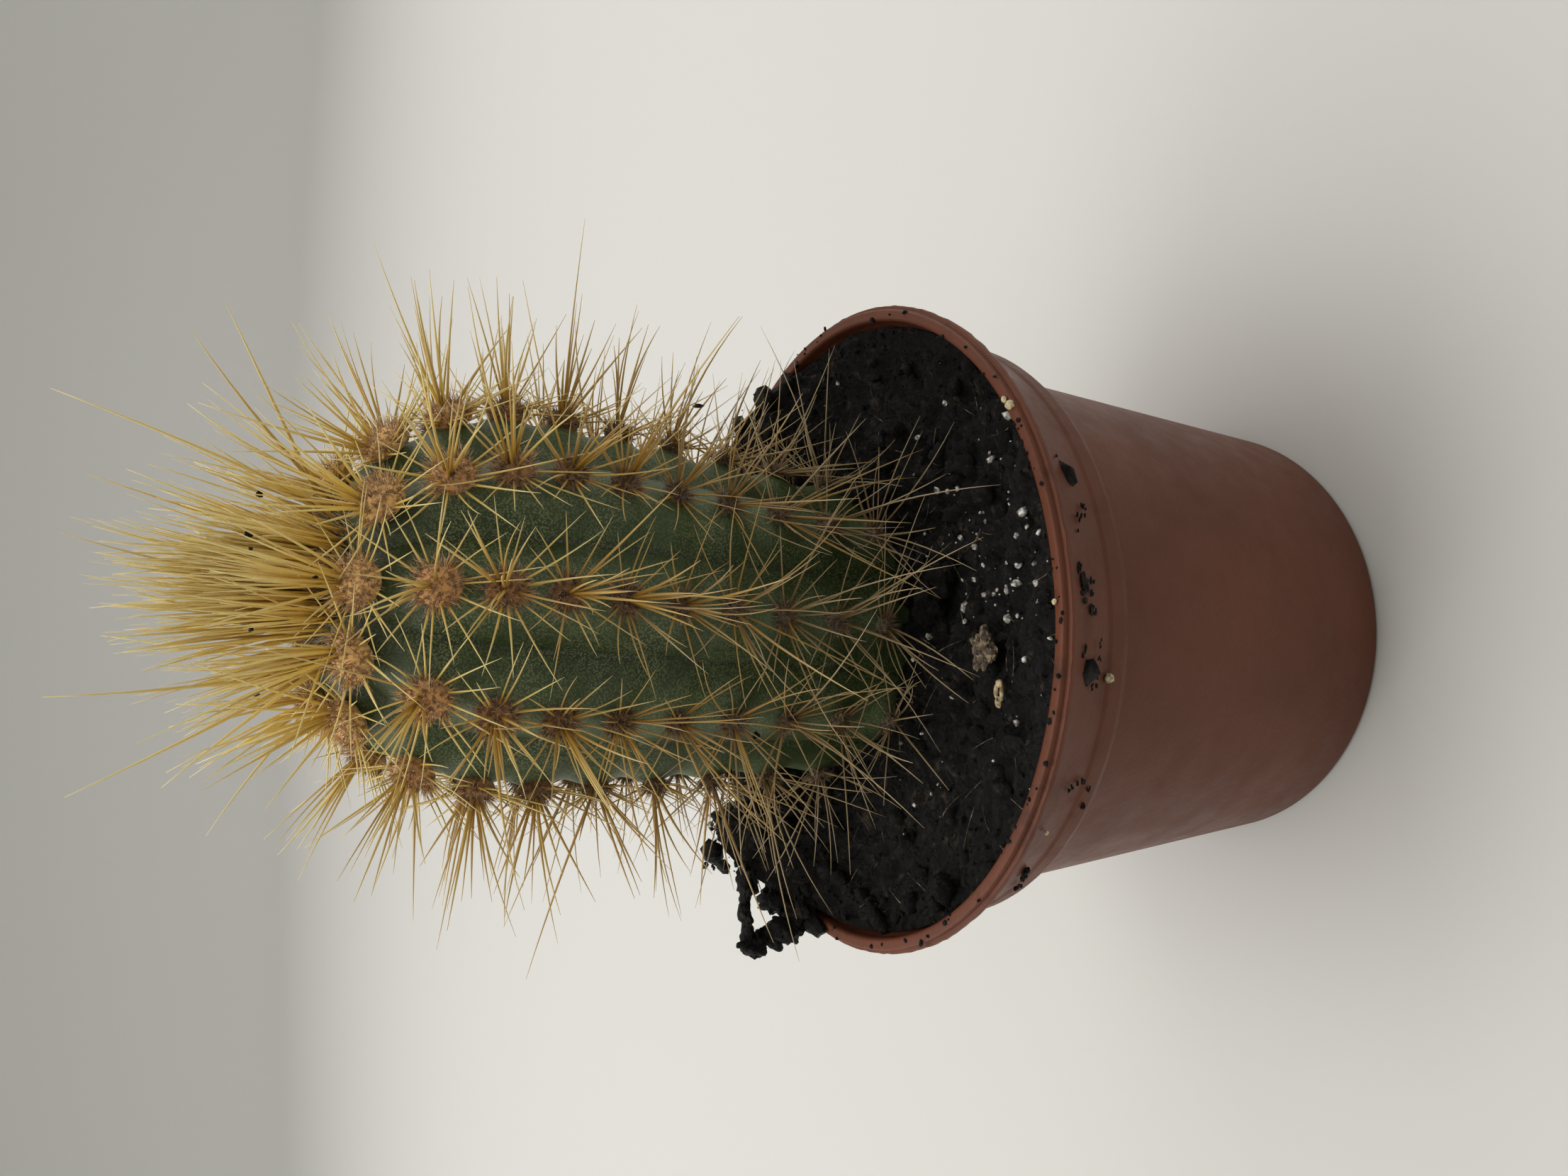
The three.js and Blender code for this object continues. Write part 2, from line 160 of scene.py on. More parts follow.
# ---- small tools ---------------------------------------------------------------------------------
def add_node(tree, kind, inputs=None, **settings):
    """Adds a node; an input is linked where it is given a socket and set where it is given a value."""
    node = tree.nodes.new(kind)
    for name, value in settings.items():
        setattr(node, name, value)
    for name, value in (inputs or {}).items():
        if isinstance(value, bpy.types.NodeSocket):
            tree.links.new(value, node.inputs[name])
        else:
            node.inputs[name].default_value = value
    return node


def new_material(name):
    """An empty Principled material and its tree, shader and Object coordinates."""
    material = bpy.data.materials.new(name)
    material.use_nodes = True
    tree = material.node_tree
    shader = tree.nodes["Principled BSDF"]
    place = add_node(tree, "ShaderNodeTexCoord").outputs["Object"]
    return material, tree, shader, place


def ramp(tree, factor, stops):
    """A colour ramp; stops are (position, linear colour)."""
    node = add_node(tree, "ShaderNodeValToRGB", {"Fac": factor})
    elements = node.color_ramp.elements
    while len(elements) < len(stops):
        elements.new(0.5)
    for element, (position, value) in zip(elements, stops):
        element.position = position
        element.color = value
    return node.outputs["Color"]


def pattern_scale(millimetres):
    """Noise scale, in Object coordinates, that repeats about every so many millimetres."""
    return 1 / (millimetres * MM)


def to_mesh_object(name, vertices, faces, material, smooth=True):
    mesh = bpy.data.meshes.new(name)
    mesh.from_pydata(vertices, [], faces)
    mesh.validate()
    build = bmesh.new()
    build.from_mesh(mesh)
    bmesh.ops.recalc_face_normals(build, faces=build.faces)
    build.to_mesh(mesh)
    build.free()
    mesh.materials.append(material)
    mesh.polygons.foreach_set("use_smooth", [smooth] * len(mesh.polygons))
    piece = bpy.data.objects.new(name, mesh)
    bpy.context.scene.collection.objects.link(piece)
    return piece


def skin_over_rings(first_pole, rings, last_pole):
    """Vertices and faces of a closed skin over rings of points, each end drawn in to a pole."""
    count = len(rings[0])
    vertices = [first_pole] + [point for ring in rings for point in ring] + [last_pole]
    last = len(vertices) - 1
    faces = []
    for i in range(count):
        after = (i + 1) % count
        faces.append((0, 1 + after, 1 + i))
        for row in range(len(rings) - 1):
            low = 1 + row * count
            high = low + count
            faces.append((low + i, low + after, high + after, high + i))
        top = 1 + (len(rings) - 1) * count
        faces.append((top + i, top + after, last))
    return vertices, faces


def point_cloud(name, points, **attributes):
    """Loose points that carry one named attribute each for a Geometry Nodes tree to read."""
    mesh = bpy.data.meshes.new(name)
    mesh.from_pydata(points, [], [])
    for key, values in attributes.items():
        values = np.asarray(values, np.float32)
        kind, field = ("FLOAT_VECTOR", "vector") if values.ndim == 2 else ("FLOAT", "value")
        mesh.attributes.new(key, kind, "POINT").data.foreach_set(field, values.ravel())
    piece = bpy.data.objects.new(name, mesh)
    bpy.context.scene.collection.objects.link(piece)
    return piece


def grow(source, tree, material, name, **inputs):
    """Runs a Geometry Nodes tree over source and keeps the result as one plain mesh piece."""
    modifier = source.modifiers.new(tree.name, "NODES")
    modifier.node_group = tree
    for item in tree.interface.items_tree:
        if item.in_out != "INPUT":
            continue
        if item.name == "Material":
            modifier[item.identifier] = material
        elif item.name in inputs:
            modifier[item.identifier] = inputs[item.name]
    graph = bpy.context.evaluated_depsgraph_get()
    mesh = bpy.data.meshes.new_from_object(source.evaluated_get(graph), depsgraph=graph)
    mesh.name = name
    source.modifiers.remove(modifier)
    bpy.data.objects.remove(source)
    piece = bpy.data.objects.new(name, mesh)
    bpy.context.scene.collection.objects.link(piece)
    return piece


def declare(piece, slot, *nodes):
    """The piece rides on the object and hides the CAD nodes it stands in for; slot is not used."""
    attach(piece, BODY)
    if nodes:
        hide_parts(*nodes)


# ---- Geometry Nodes trees ------------------------------------------------------------------------
def new_tree(name, sockets):
    """A geometry tree with a Geometry input and output, the named inputs and a Material."""
    tree = bpy.data.node_groups.new(name, "GeometryNodeTree")
    tree.is_modifier = True
    tree.interface.new_socket("Geometry", in_out="INPUT", socket_type="NodeSocketGeometry")
    for label, (kind, value) in sockets.items():
        socket = tree.interface.new_socket(label, in_out="INPUT", socket_type=kind)
        socket.default_value = value
    tree.interface.new_socket("Material", in_out="INPUT", socket_type="NodeSocketMaterial")
    tree.interface.new_socket("Geometry", in_out="OUTPUT", socket_type="NodeSocketGeometry")
    return tree, add_node(tree, "NodeGroupInput").outputs


def named(tree, name, kind="FLOAT"):
    return add_node(tree, "GeometryNodeInputNamedAttribute", {"Name": name}, data_type=kind).outputs[0]


def math_node(tree, operation, a, b):
    return add_node(tree, "ShaderNodeMath", {0: a, 1: b}, operation=operation).outputs[0]


def finish_tree(tree, geometry, material):
    smooth = add_node(tree, "GeometryNodeSetShadeSmooth", {"Geometry": geometry})
    painted = add_node(tree, "GeometryNodeSetMaterial", {"Geometry": smooth.outputs[0], "Material": material})
    add_node(tree, "NodeGroupOutput", {"Geometry": painted.outputs[0]})
    return tree


def spine_tree():
    """One tapered, bent spine on each point, aimed, sized and bent by the point's attributes."""
    tree, given = new_tree("Tapered Spines", {
        "Sides": ("NodeSocketInt", 5),
        "Segments": ("NodeSocketInt", 7),
        "Tip Share": ("NodeSocketFloat", 0.12),
        "Taper": ("NodeSocketFloat", 0.6),
    })
    cone = add_node(tree, "GeometryNodeMeshCone", {
        "Vertices": given["Sides"], "Side Segments": given["Segments"],
        "Radius Top": given["Tip Share"], "Radius Bottom": 1.0, "Depth": 1.0}, fill_type="NGON")
    place = add_node(tree, "GeometryNodeInputPosition")
    along = add_node(tree, "ShaderNodeSeparateXYZ", {0: place.outputs[0]}).outputs["Z"]
    rest = math_node(tree, "MAXIMUM", math_node(tree, "SUBTRACT", 1.0, along), 0.0)
    wanted = math_node(tree, "MAXIMUM", math_node(tree, "POWER", rest, given["Taper"]), given["Tip Share"])
    straight = math_node(tree, "SUBTRACT", 1.0, math_node(
        tree, "MULTIPLY", along, math_node(tree, "SUBTRACT", 1.0, given["Tip Share"])))
    share = math_node(tree, "DIVIDE", wanted, straight)
    widths = add_node(tree, "ShaderNodeCombineXYZ", {"X": share, "Y": share, "Z": 1.0})
    shaped = add_node(tree, "ShaderNodeVectorMath", {
        0: place.outputs[0], 1: widths.outputs[0]}, operation="MULTIPLY")
    marked = add_node(tree, "GeometryNodeStoreNamedAttribute", {
        "Geometry": cone.outputs["Mesh"], "Name": "along", "Value": along},
        data_type="FLOAT", domain="POINT")
    unit = add_node(tree, "GeometryNodeSetPosition", {
        "Geometry": marked.outputs[0], "Position": shaped.outputs[0]})
    turned = add_node(tree, "FunctionNodeAlignRotationToVector", {
        "Vector": named(tree, "aim", "FLOAT_VECTOR")}, axis="Z")
    thick = named(tree, "thick")
    size = add_node(tree, "ShaderNodeCombineXYZ", {"X": thick, "Y": thick, "Z": named(tree, "reach")})
    planted = add_node(tree, "GeometryNodeInstanceOnPoints", {
        "Points": given["Geometry"], "Instance": unit.outputs[0],
        "Rotation": turned.outputs[0], "Scale": size.outputs[0]})
    real = add_node(tree, "GeometryNodeRealizeInstances", {"Geometry": planted.outputs[0]})
    squared = math_node(tree, "POWER", named(tree, "along"), 2.0)
    bend = add_node(tree, "ShaderNodeVectorMath", {
        0: named(tree, "sag", "FLOAT_VECTOR"), "Scale": squared}, operation="SCALE")
    bent = add_node(tree, "GeometryNodeSetPosition", {
        "Geometry": real.outputs[0], "Offset": bend.outputs[0]})
    return finish_tree(tree, bent.outputs[0], given["Material"])


def crumb_tree():
    """One angular crumb on each point, turned and sized by the point's attributes."""
    tree, given = new_tree("Crumbs", {
        "Roundness": ("NodeSocketInt", 1),
        "Raggedness": ("NodeSocketFloat", 0.5),
        "Seed": ("NodeSocketFloat", 3.0),
    })
    ball = add_node(tree, "GeometryNodeMeshIcoSphere", {"Radius": 1.0, "Subdivisions": given["Roundness"]})
    planted = add_node(tree, "GeometryNodeInstanceOnPoints", {
        "Points": given["Geometry"], "Instance": ball.outputs[0],
        "Rotation": add_node(tree, "FunctionNodeEulerToRotation", {
            0: named(tree, "turn", "FLOAT_VECTOR")}).outputs[0],
        "Scale": named(tree, "size", "FLOAT_VECTOR")})
    real = add_node(tree, "GeometryNodeRealizeInstances", {"Geometry": planted.outputs[0]})
    rough = add_node(tree, "ShaderNodeTexNoise", {
        "W": given["Seed"], "Scale": pattern_scale(0.7), "Detail": 2.0}, noise_dimensions="4D")
    centred = add_node(tree, "ShaderNodeVectorMath", {
        0: rough.outputs["Color"], 1: (0.5, 0.5, 0.5)}, operation="SUBTRACT")
    amount = math_node(tree, "MULTIPLY", named(tree, "grain"), given["Raggedness"])
    push = add_node(tree, "ShaderNodeVectorMath", {0: centred.outputs[0], "Scale": amount}, operation="SCALE")
    ragged = add_node(tree, "GeometryNodeSetPosition", {
        "Geometry": real.outputs[0], "Offset": push.outputs[0]})
    return finish_tree(tree, ragged.outputs[0], given["Material"])


def rib_tree():
    """Presses the valleys and scallops of the ribs into a smooth stem, then grains its skin."""
    tree, given = new_tree("Ribbed Stem", {
        "Depth Foot": ("NodeSocketFloat", 2 * MM),
        "Depth Shoulder": ("NodeSocketFloat", 4.2 * MM),
        "Scallop": ("NodeSocketFloat", 1.1 * MM),
        "Sharpness": ("NodeSocketFloat", 1.4),
        "Unevenness": ("NodeSocketFloat", 0.5 * MM),
    })
    across = named(tree, "across")
    depth = add_node(tree, "ShaderNodeMapRange", {
        "Value": named(tree, "rise"), "To Min": given["Depth Foot"], "To Max": given["Depth Shoulder"]})
    valley = math_node(tree, "MULTIPLY", depth.outputs[0], math_node(
        tree, "POWER", across, given["Sharpness"]))
    crest = math_node(tree, "MULTIPLY", named(tree, "wave"), math_node(tree, "SUBTRACT", 1.0, across))
    pressed = math_node(tree, "ADD", valley, math_node(tree, "MULTIPLY", crest, given["Scallop"]))
    inward = math_node(tree, "MULTIPLY", math_node(tree, "MULTIPLY", pressed, named(tree, "share")), -1.0)
    swell = add_node(tree, "ShaderNodeTexNoise", {"Scale": pattern_scale(14), "Detail": 2.0})
    uneven = math_node(tree, "MULTIPLY", math_node(
        tree, "SUBTRACT", swell.outputs["Fac"], 0.5), given["Unevenness"])
    offset = add_node(tree, "ShaderNodeVectorMath", {
        0: named(tree, "outward", "FLOAT_VECTOR"),
        "Scale": math_node(tree, "ADD", inward, uneven)}, operation="SCALE")
    moved = add_node(tree, "GeometryNodeSetPosition", {
        "Geometry": given["Geometry"], "Offset": offset.outputs[0]})
    return finish_tree(tree, moved.outputs[0], given["Material"])


# ---- materials -----------------------------------------------------------------------------------
def moulded_polypropylene(plastic):
    """Injection-moulded polypropylene: satin, finely grained by the mould, smeared with peat."""
    material, tree, shader, place = new_material("moulded_polypropylene")
    cloud = add_node(tree, "ShaderNodeTexNoise", {"Vector": place, "Scale": pattern_scale(22), "Detail": 4.0})
    darker = [c * 0.78 for c in plastic[:3]] + [1.0]
    base = ramp(tree, cloud.outputs["Fac"], [(0.35, darker), (0.65, plastic)])
    height = add_node(tree, "ShaderNodeSeparateXYZ", {0: place}).outputs["Z"]
    # peat dust clings to the collar band and thins out down the body
    on_band = add_node(tree, "ShaderNodeMapRange", {
        "Value": height, "From Min": 52 * MM, "From Max": 68 * MM}).outputs[0]
    smear = add_node(tree, "ShaderNodeTexNoise", {
        "Vector": place, "Scale": pattern_scale(5), "Detail": 7.0, "Roughness": 0.65})
    smeared = ramp(tree, smear.outputs["Fac"], [(0.56, (0, 0, 0, 1)), (0.72, (1, 1, 1, 1))])
    dirt = math_node(tree, "MULTIPLY", math_node(tree, "MULTIPLY", smeared, on_band), 0.55)
    dirty = add_node(tree, "ShaderNodeMix", {
        "Factor": dirt, "A": base, "B": hex_to_linear("2b211b")}, data_type="RGBA")
    tree.links.new(dirty.outputs["Result"], shader.inputs["Base Color"])
    dull = add_node(tree, "ShaderNodeMapRange", {
        "Value": smear.outputs["Fac"], "From Min": 0.3, "From Max": 0.7, "To Min": 0.38, "To Max": 0.56})
    tree.links.new(dull.outputs[0], shader.inputs["Roughness"])
    shader.inputs["Specular IOR Level"].default_value = 0.24
    grain = add_node(tree, "ShaderNodeTexNoise", {"Vector": place, "Scale": pattern_scale(0.7), "Detail": 3.0})
    fine = add_node(tree, "ShaderNodeBump", {
        "Height": grain.outputs["Fac"], "Strength": 0.55, "Distance": 0.12 * MM})
    waves = add_node(tree, "ShaderNodeBump", {
        "Height": cloud.outputs["Fac"], "Strength": 0.1, "Distance": 0.4 * MM, "Normal": fine.outputs[0]})
    tree.links.new(waves.outputs[0], shader.inputs["Normal"])
    return material


def moist_peat(peat):
    """Moist sphagnum peat: almost black, crumbly, with small wet glints."""
    material, tree, shader, place = new_material("moist_peat")
    clods = add_node(tree, "ShaderNodeTexNoise", {
        "Vector": place, "Scale": pattern_scale(2.4), "Detail": 8.0, "Roughness": 0.75})
    base = ramp(tree, clods.outputs["Fac"], [
        (0.38, [c * 0.4 for c in peat[:3]] + [1.0]), (0.57, peat), (0.7, hex_to_linear("54483a"))])
    tree.links.new(base, shader.inputs["Base Color"])
    wet = add_node(tree, "ShaderNodeTexNoise", {"Vector": place, "Scale": pattern_scale(1.6), "Detail": 5.0})
    gloss = ramp(tree, wet.outputs["Fac"], [(0.42, (0.85, 0.85, 0.85, 1)), (0.58, (0.22, 0.22, 0.22, 1))])
    tree.links.new(gloss, shader.inputs["Roughness"])
    shader.inputs["Specular IOR Level"].default_value = 0.3
    bump = add_node(tree, "ShaderNodeBump", {
        "Height": clods.outputs["Fac"], "Strength": 1.0, "Distance": 1.3 * MM})
    tree.links.new(bump.outputs[0], shader.inputs["Normal"])
    return material


def waxy_epidermis(skin, bloom):
    """Living cactus skin: waxy dark green, pale stomata dots, blue-grey bloom on the crests."""
    material, tree, shader, place = new_material("waxy_epidermis")
    tint = add_node(tree, "ShaderNodeTexNoise", {"Vector": place, "Scale": pattern_scale(9), "Detail": 5.0})
    darker = [c * 0.62 for c in skin[:3]] + [1.0]
    base = ramp(tree, tint.outputs["Fac"], [(0.35, darker), (0.65, skin)])
    across = add_node(tree, "ShaderNodeAttribute", attribute_name="across").outputs["Fac"]
    # wax rubs off in the valleys and stays on the flanks beside the crest
    waxed = add_node(tree, "ShaderNodeMapRange", {
        "Value": across, "From Min": 0.7, "From Max": 0.12, "To Min": 0.0, "To Max": 0.5})
    wax_cloud = add_node(tree, "ShaderNodeTexNoise", {"Vector": place, "Scale": pattern_scale(6), "Detail": 6.0})
    wax_share = math_node(tree, "MULTIPLY", waxed.outputs[0], wax_cloud.outputs["Fac"])
    with_wax = add_node(tree, "ShaderNodeMix", {"Factor": wax_share, "A": base, "B": bloom}, data_type="RGBA")
    # painted shade: the bottom of each rib valley is darkened towards a near-black green
    valley_shade = add_node(tree, "ShaderNodeMapRange", {
        "Value": across, "From Min": 0.9, "From Max": 0.98, "To Min": 0.0, "To Max": 0.8})
    valley_shaded = add_node(tree, "ShaderNodeMix", {
        "Factor": valley_shade.outputs[0], "A": with_wax.outputs["Result"],
        "B": [c * 0.3 for c in skin[:3]] + [1.0]}, data_type="RGBA")
    # stomata are 0.1 mm dots in life; 0.27 mm is the finest that still shows
    dots = add_node(tree, "ShaderNodeTexVoronoi", {"Vector": place, "Scale": pattern_scale(0.27)})
    dotted = ramp(tree, dots.outputs["Distance"], [(0.14, (1, 1, 1, 1)), (0.62, (0, 0, 0, 1))])
    patchy = ramp(tree, wax_cloud.outputs["Fac"], [(0.36, (0.3, 0.3, 0.3, 1)), (0.6, (1, 1, 1, 1))])
    dot_share = math_node(tree, "MULTIPLY", math_node(tree, "MULTIPLY", dotted, patchy), 0.62)
    speckled = add_node(tree, "ShaderNodeMix", {
        "Factor": dot_share, "A": valley_shaded.outputs["Result"], "B": hex_to_linear("97a274")}, data_type="RGBA")
    scars = add_node(tree, "ShaderNodeTexNoise", {
        "Vector": place, "Scale": pattern_scale(7), "Detail": 3.0, "Distortion": 1.5})
    scarred = ramp(tree, scars.outputs["Fac"], [(0.7, (0, 0, 0, 1)), (0.76, (0.5, 0.5, 0.5, 1))])
    corky = add_node(tree, "ShaderNodeMix", {
        "Factor": scarred, "A": speckled.outputs["Result"], "B": hex_to_linear("8e937c")}, data_type="RGBA")
    # the skin is darkened towards the top of the dome
    dome = add_node(tree, "ShaderNodeAttribute", attribute_name="share").outputs["Fac"]
    dome_darkening = add_node(tree, "ShaderNodeMapRange", {
        "Value": dome, "From Min": 0.97, "From Max": 0.6, "To Min": 0.0, "To Max": 0.6})
    young = add_node(tree, "ShaderNodeMix", {
        "Factor": dome_darkening.outputs[0], "A": corky.outputs["Result"], "B": hex_to_linear("1d2a12")},
        data_type="RGBA")
    tree.links.new(young.outputs["Result"], shader.inputs["Base Color"])
    shader.inputs["Roughness"].default_value = 0.46
    shader.inputs["Specular IOR Level"].default_value = 0.45
    shader.inputs["Subsurface Weight"].default_value = 0.08
    shader.inputs["Subsurface Radius"].default_value = (0.4 * MM, 1.2 * MM, 0.3 * MM)
    pores = add_node(tree, "ShaderNodeBump", {
        "Height": dots.outputs["Distance"], "Strength": 0.35, "Distance": 0.12 * MM})
    swell = add_node(tree, "ShaderNodeBump", {
        "Height": tint.outputs["Fac"], "Strength": 0.3, "Distance": 0.8 * MM, "Normal": pores.outputs[0]})
    tree.links.new(swell.outputs[0], shader.inputs["Normal"])
    return material


def dry_spine(young, middle, old):
    """Dry lignified spines: glassy gold when new, amber when grown, bone grey when old."""
    material, tree, shader, place = new_material("dry_spine")
    tone = add_node(tree, "ShaderNodeAttribute", attribute_name="tone").outputs["Fac"]
    along = add_node(tree, "ShaderNodeAttribute", attribute_name="along").outputs["Fac"]
    body = ramp(tree, tone, [(0.0, young), (0.32, middle), (0.5, middle), (0.76, old)])
    tip = ramp(tree, tone, [
        (0.0, hex_to_linear("f2e3a4")), (0.45, hex_to_linear("cfb06c")), (0.76, hex_to_linear("bfab86"))])
    far = add_node(tree, "ShaderNodeMapRange", {"Value": along, "From Min": 0.2, "From Max": 0.9})
    mixed = add_node(tree, "ShaderNodeMix", {"Factor": far.outputs[0], "A": body, "B": tip}, data_type="RGBA")
    near = add_node(tree, "ShaderNodeMapRange", {
        "Value": along, "From Min": 0.0, "From Max": 0.22, "To Min": 0.6, "To Max": 0.0})
    rooted = add_node(tree, "ShaderNodeMix", {
        "Factor": near.outputs[0], "A": mixed.outputs["Result"], "B": hex_to_linear("6a4020")},
        data_type="RGBA")
    tree.links.new(rooted.outputs["Result"], shader.inputs["Base Color"])
    streaks = add_node(tree, "ShaderNodeTexNoise", {"Vector": place, "Scale": pattern_scale(0.5), "Detail": 2.0})
    bump = add_node(tree, "ShaderNodeBump", {
        "Height": streaks.outputs["Fac"], "Strength": 0.2, "Distance": 0.05 * MM})
    tree.links.new(bump.outputs[0], shader.inputs["Normal"])
    shader.inputs["Roughness"].default_value = 0.36
    shader.inputs["Subsurface Weight"].default_value = 0.25
    shader.inputs["Subsurface Radius"].default_value = (0.4 * MM, 0.25 * MM, 0.1 * MM)
    return material


def areole_wool():
    """Areole wool: short felted hair, orange-tan when new and grey-brown when old."""
    material, tree, shader, place = new_material("areole_wool")
    tone = add_node(tree, "ShaderNodeAttribute", attribute_name="tone").outputs["Fac"]
    along = add_node(tree, "ShaderNodeAttribute", attribute_name="along").outputs["Fac"]
    body = ramp(tree, tone, [
        (0.0, hex_to_linear("efc07c")), (0.12, hex_to_linear("dba468")), (0.25, hex_to_linear("95683c")),
        (0.6, hex_to_linear("6a4d33")), (1.0, hex_to_linear("958269"))])
    lit = add_node(tree, "ShaderNodeMix", {
        "Factor": math_node(tree, "MULTIPLY", along, 0.5), "A": body, "B": hex_to_linear("ecd3a8")},
        data_type="RGBA")
    fluff = add_node(tree, "ShaderNodeTexNoise", {"Vector": place, "Scale": pattern_scale(0.6), "Detail": 3.0})
    shade = ramp(tree, fluff.outputs["Fac"], [(0.4, (0.36, 0.31, 0.26, 1)), (0.56, (1, 1, 1, 1))])
    toned = add_node(tree, "ShaderNodeMix", {
        "Factor": 1.0, "A": lit.outputs["Result"], "B": shade}, data_type="RGBA", blend_type="MULTIPLY")
    tree.links.new(toned.outputs["Result"], shader.inputs["Base Color"])
    shader.inputs["Roughness"].default_value = 0.9
    shader.inputs["Sheen Weight"].default_value = 0.3
    return material


def expanded_perlite():
    """Expanded perlite: white volcanic glass foam, matt with small bright facets."""
    material, tree, shader, place = new_material("expanded_perlite")
    foam = add_node(tree, "ShaderNodeTexNoise", {"Vector": place, "Scale": pattern_scale(0.5), "Detail": 4.0})
    base = ramp(tree, foam.outputs["Fac"], [
        (0.36, hex_to_linear("55524c")), (0.5, hex_to_linear("b4b0a7")), (0.62, hex_to_linear("f3f1ea"))])
    tree.links.new(base, shader.inputs["Base Color"])
    shader.inputs["Roughness"].default_value = 0.25
    bump = add_node(tree, "ShaderNodeBump", {
        "Height": foam.outputs["Fac"], "Strength": 0.6, "Distance": 0.15 * MM})
    tree.links.new(bump.outputs[0], shader.inputs["Normal"])
    return material


def quartz_grit():
    """Quartz grit from the potting mix: cream, slightly glossy."""
    material, tree, shader, place = new_material("quartz_grit")
    cloud = add_node(tree, "ShaderNodeTexNoise", {"Vector": place, "Scale": pattern_scale(0.8), "Detail": 3.0})
    base = ramp(tree, cloud.outputs["Fac"], [(0.35, hex_to_linear("9d8f6c")), (0.65, hex_to_linear("d2c49c"))])
    tree.links.new(base, shader.inputs["Base Color"])
    shader.inputs["Roughness"].default_value = 0.4
    return material


def weathered_bark():
    """Composted bark: matt grey-brown with darker fibres."""
    material, tree, shader, place = new_material("weathered_bark")
    fibres = add_node(tree, "ShaderNodeTexNoise", {
        "Vector": place, "Scale": pattern_scale(0.8), "Detail": 6.0, "Distortion": 0.8})
    base = ramp(tree, fibres.outputs["Fac"], [
        (0.36, hex_to_linear("241d17")), (0.52, hex_to_linear("5e5041")), (0.68, hex_to_linear("a4926f"))])
    tree.links.new(base, shader.inputs["Base Color"])
    shader.inputs["Roughness"].default_value = 0.85
    bump = add_node(tree, "ShaderNodeBump", {
        "Height": fibres.outputs["Fac"], "Strength": 0.8, "Distance": 0.3 * MM})
    tree.links.new(bump.outputs[0], shader.inputs["Normal"])
    return material


def seed_chaff():
    """Dry seed husk: papery cream with brown stains."""
    material, tree, shader, place = new_material("seed_chaff")
    stain = add_node(tree, "ShaderNodeTexNoise", {"Vector": place, "Scale": pattern_scale(0.9), "Detail": 4.0})
    base = ramp(tree, stain.outputs["Fac"], [
        (0.36, hex_to_linear("3c2f22")), (0.46, hex_to_linear("8a7553")), (0.6, hex_to_linear("cbb88f"))])
    tree.links.new(base, shader.inputs["Base Color"])
    shader.inputs["Roughness"].default_value = 0.6
    return material


def seamless_paper(floor):
    """Matt seamless background paper."""
    material, tree, shader, place = new_material("seamless_paper")
    shader.inputs["Base Color"].default_value = floor
    shader.inputs["Roughness"].default_value = 0.9
    return material


# ---- the stem's rule -----------------------------------------------------------------------------
def stem_outward(turn):
    return STEM_SIDE * math.sin(turn) - STEM_BACK * math.cos(turn)


def stem_point(height, turn, radius):
    return STEM_FOOT + STEM_DIRECTION * height + stem_outward(turn) * radius


def crest_radius(stem, height):
    if height >= stem.shoulder_height:
        rise = min((height - stem.shoulder_height) / stem.dome_height, 1)
        return stem.shoulder_radius * math.sqrt(1 - rise * rise)
    rise = max(height / stem.shoulder_height, 0)
    swell = rise * rise * (3 - 2 * rise)
    return stem.foot_radius + (stem.shoulder_radius - stem.foot_radius) * swell


def dome_height_at(stem, radius):
    """Height along the stem at which the dome has a radius."""
    return stem.shoulder_height + stem.dome_height * math.sqrt(1 - (radius / stem.shoulder_radius) ** 2)


def crest_normal(stem, height, turn):
    step = 0.05 * MM
    slope = (crest_radius(stem, height + step) - crest_radius(stem, height - step)) / (2 * step)
    return (stem_outward(turn) - STEM_DIRECTION * slope).normalized()


def tier_at(rib, height):
    """The tier, as a fraction, that a height in metres stands at on a rib."""
    spacing = AREOLE_SPACINGS[rib]
    below = max(AREOLE_TOPS[rib] - height / MM, 0)
    return (math.sqrt(spacing * spacing + 4 * SPACING_GROWTH * below) - spacing) / (2 * SPACING_GROWTH)


def areoles(stem):
    """Every areole: (place, normal, up the stem, age from 0 at the top to 1 at the soil, rib, tier)."""
    found = []
    for rib in range(RIBS):
        turn = FIRST_RIB_TURN + rib * math.tau / RIBS
        for tier in range(TIERS):
            height = (AREOLE_TOPS[rib] - tier * (AREOLE_SPACINGS[rib] + SPACING_GROWTH * tier)) * MM
            if height < 1 * MM:
                continue
            normal = crest_normal(stem, height, turn)
            place = stem_point(height, turn, crest_radius(stem, height))
            up = (STEM_DIRECTION - normal * STEM_DIRECTION.dot(normal)).normalized()
            found.append((place, normal, up, tier / (TIERS - 1), rib, tier))
    return found


# ---- operators -----------------------------------------------------------------------------------
def turned_mesh(name, outline, segments, material, wobble=None):
    """Turns an outline that starts and ends on the axis into a closed body."""
    rings = []
    for radius, height in outline[1:-1]:
        ring = []
        for i in range(segments):
            turn = i * math.tau / segments
            shift = wobble(radius, height, turn) if wobble else (0, 0)
            r = radius + shift[0]
            ring.append((r * math.cos(turn), r * math.sin(turn), height + shift[1]))
        rings.append(ring)
    vertices, faces = skin_over_rings((0, 0, outline[0][1]), rings, (0, 0, outline[-1][1]))
    return to_mesh_object(name, vertices, faces, material)


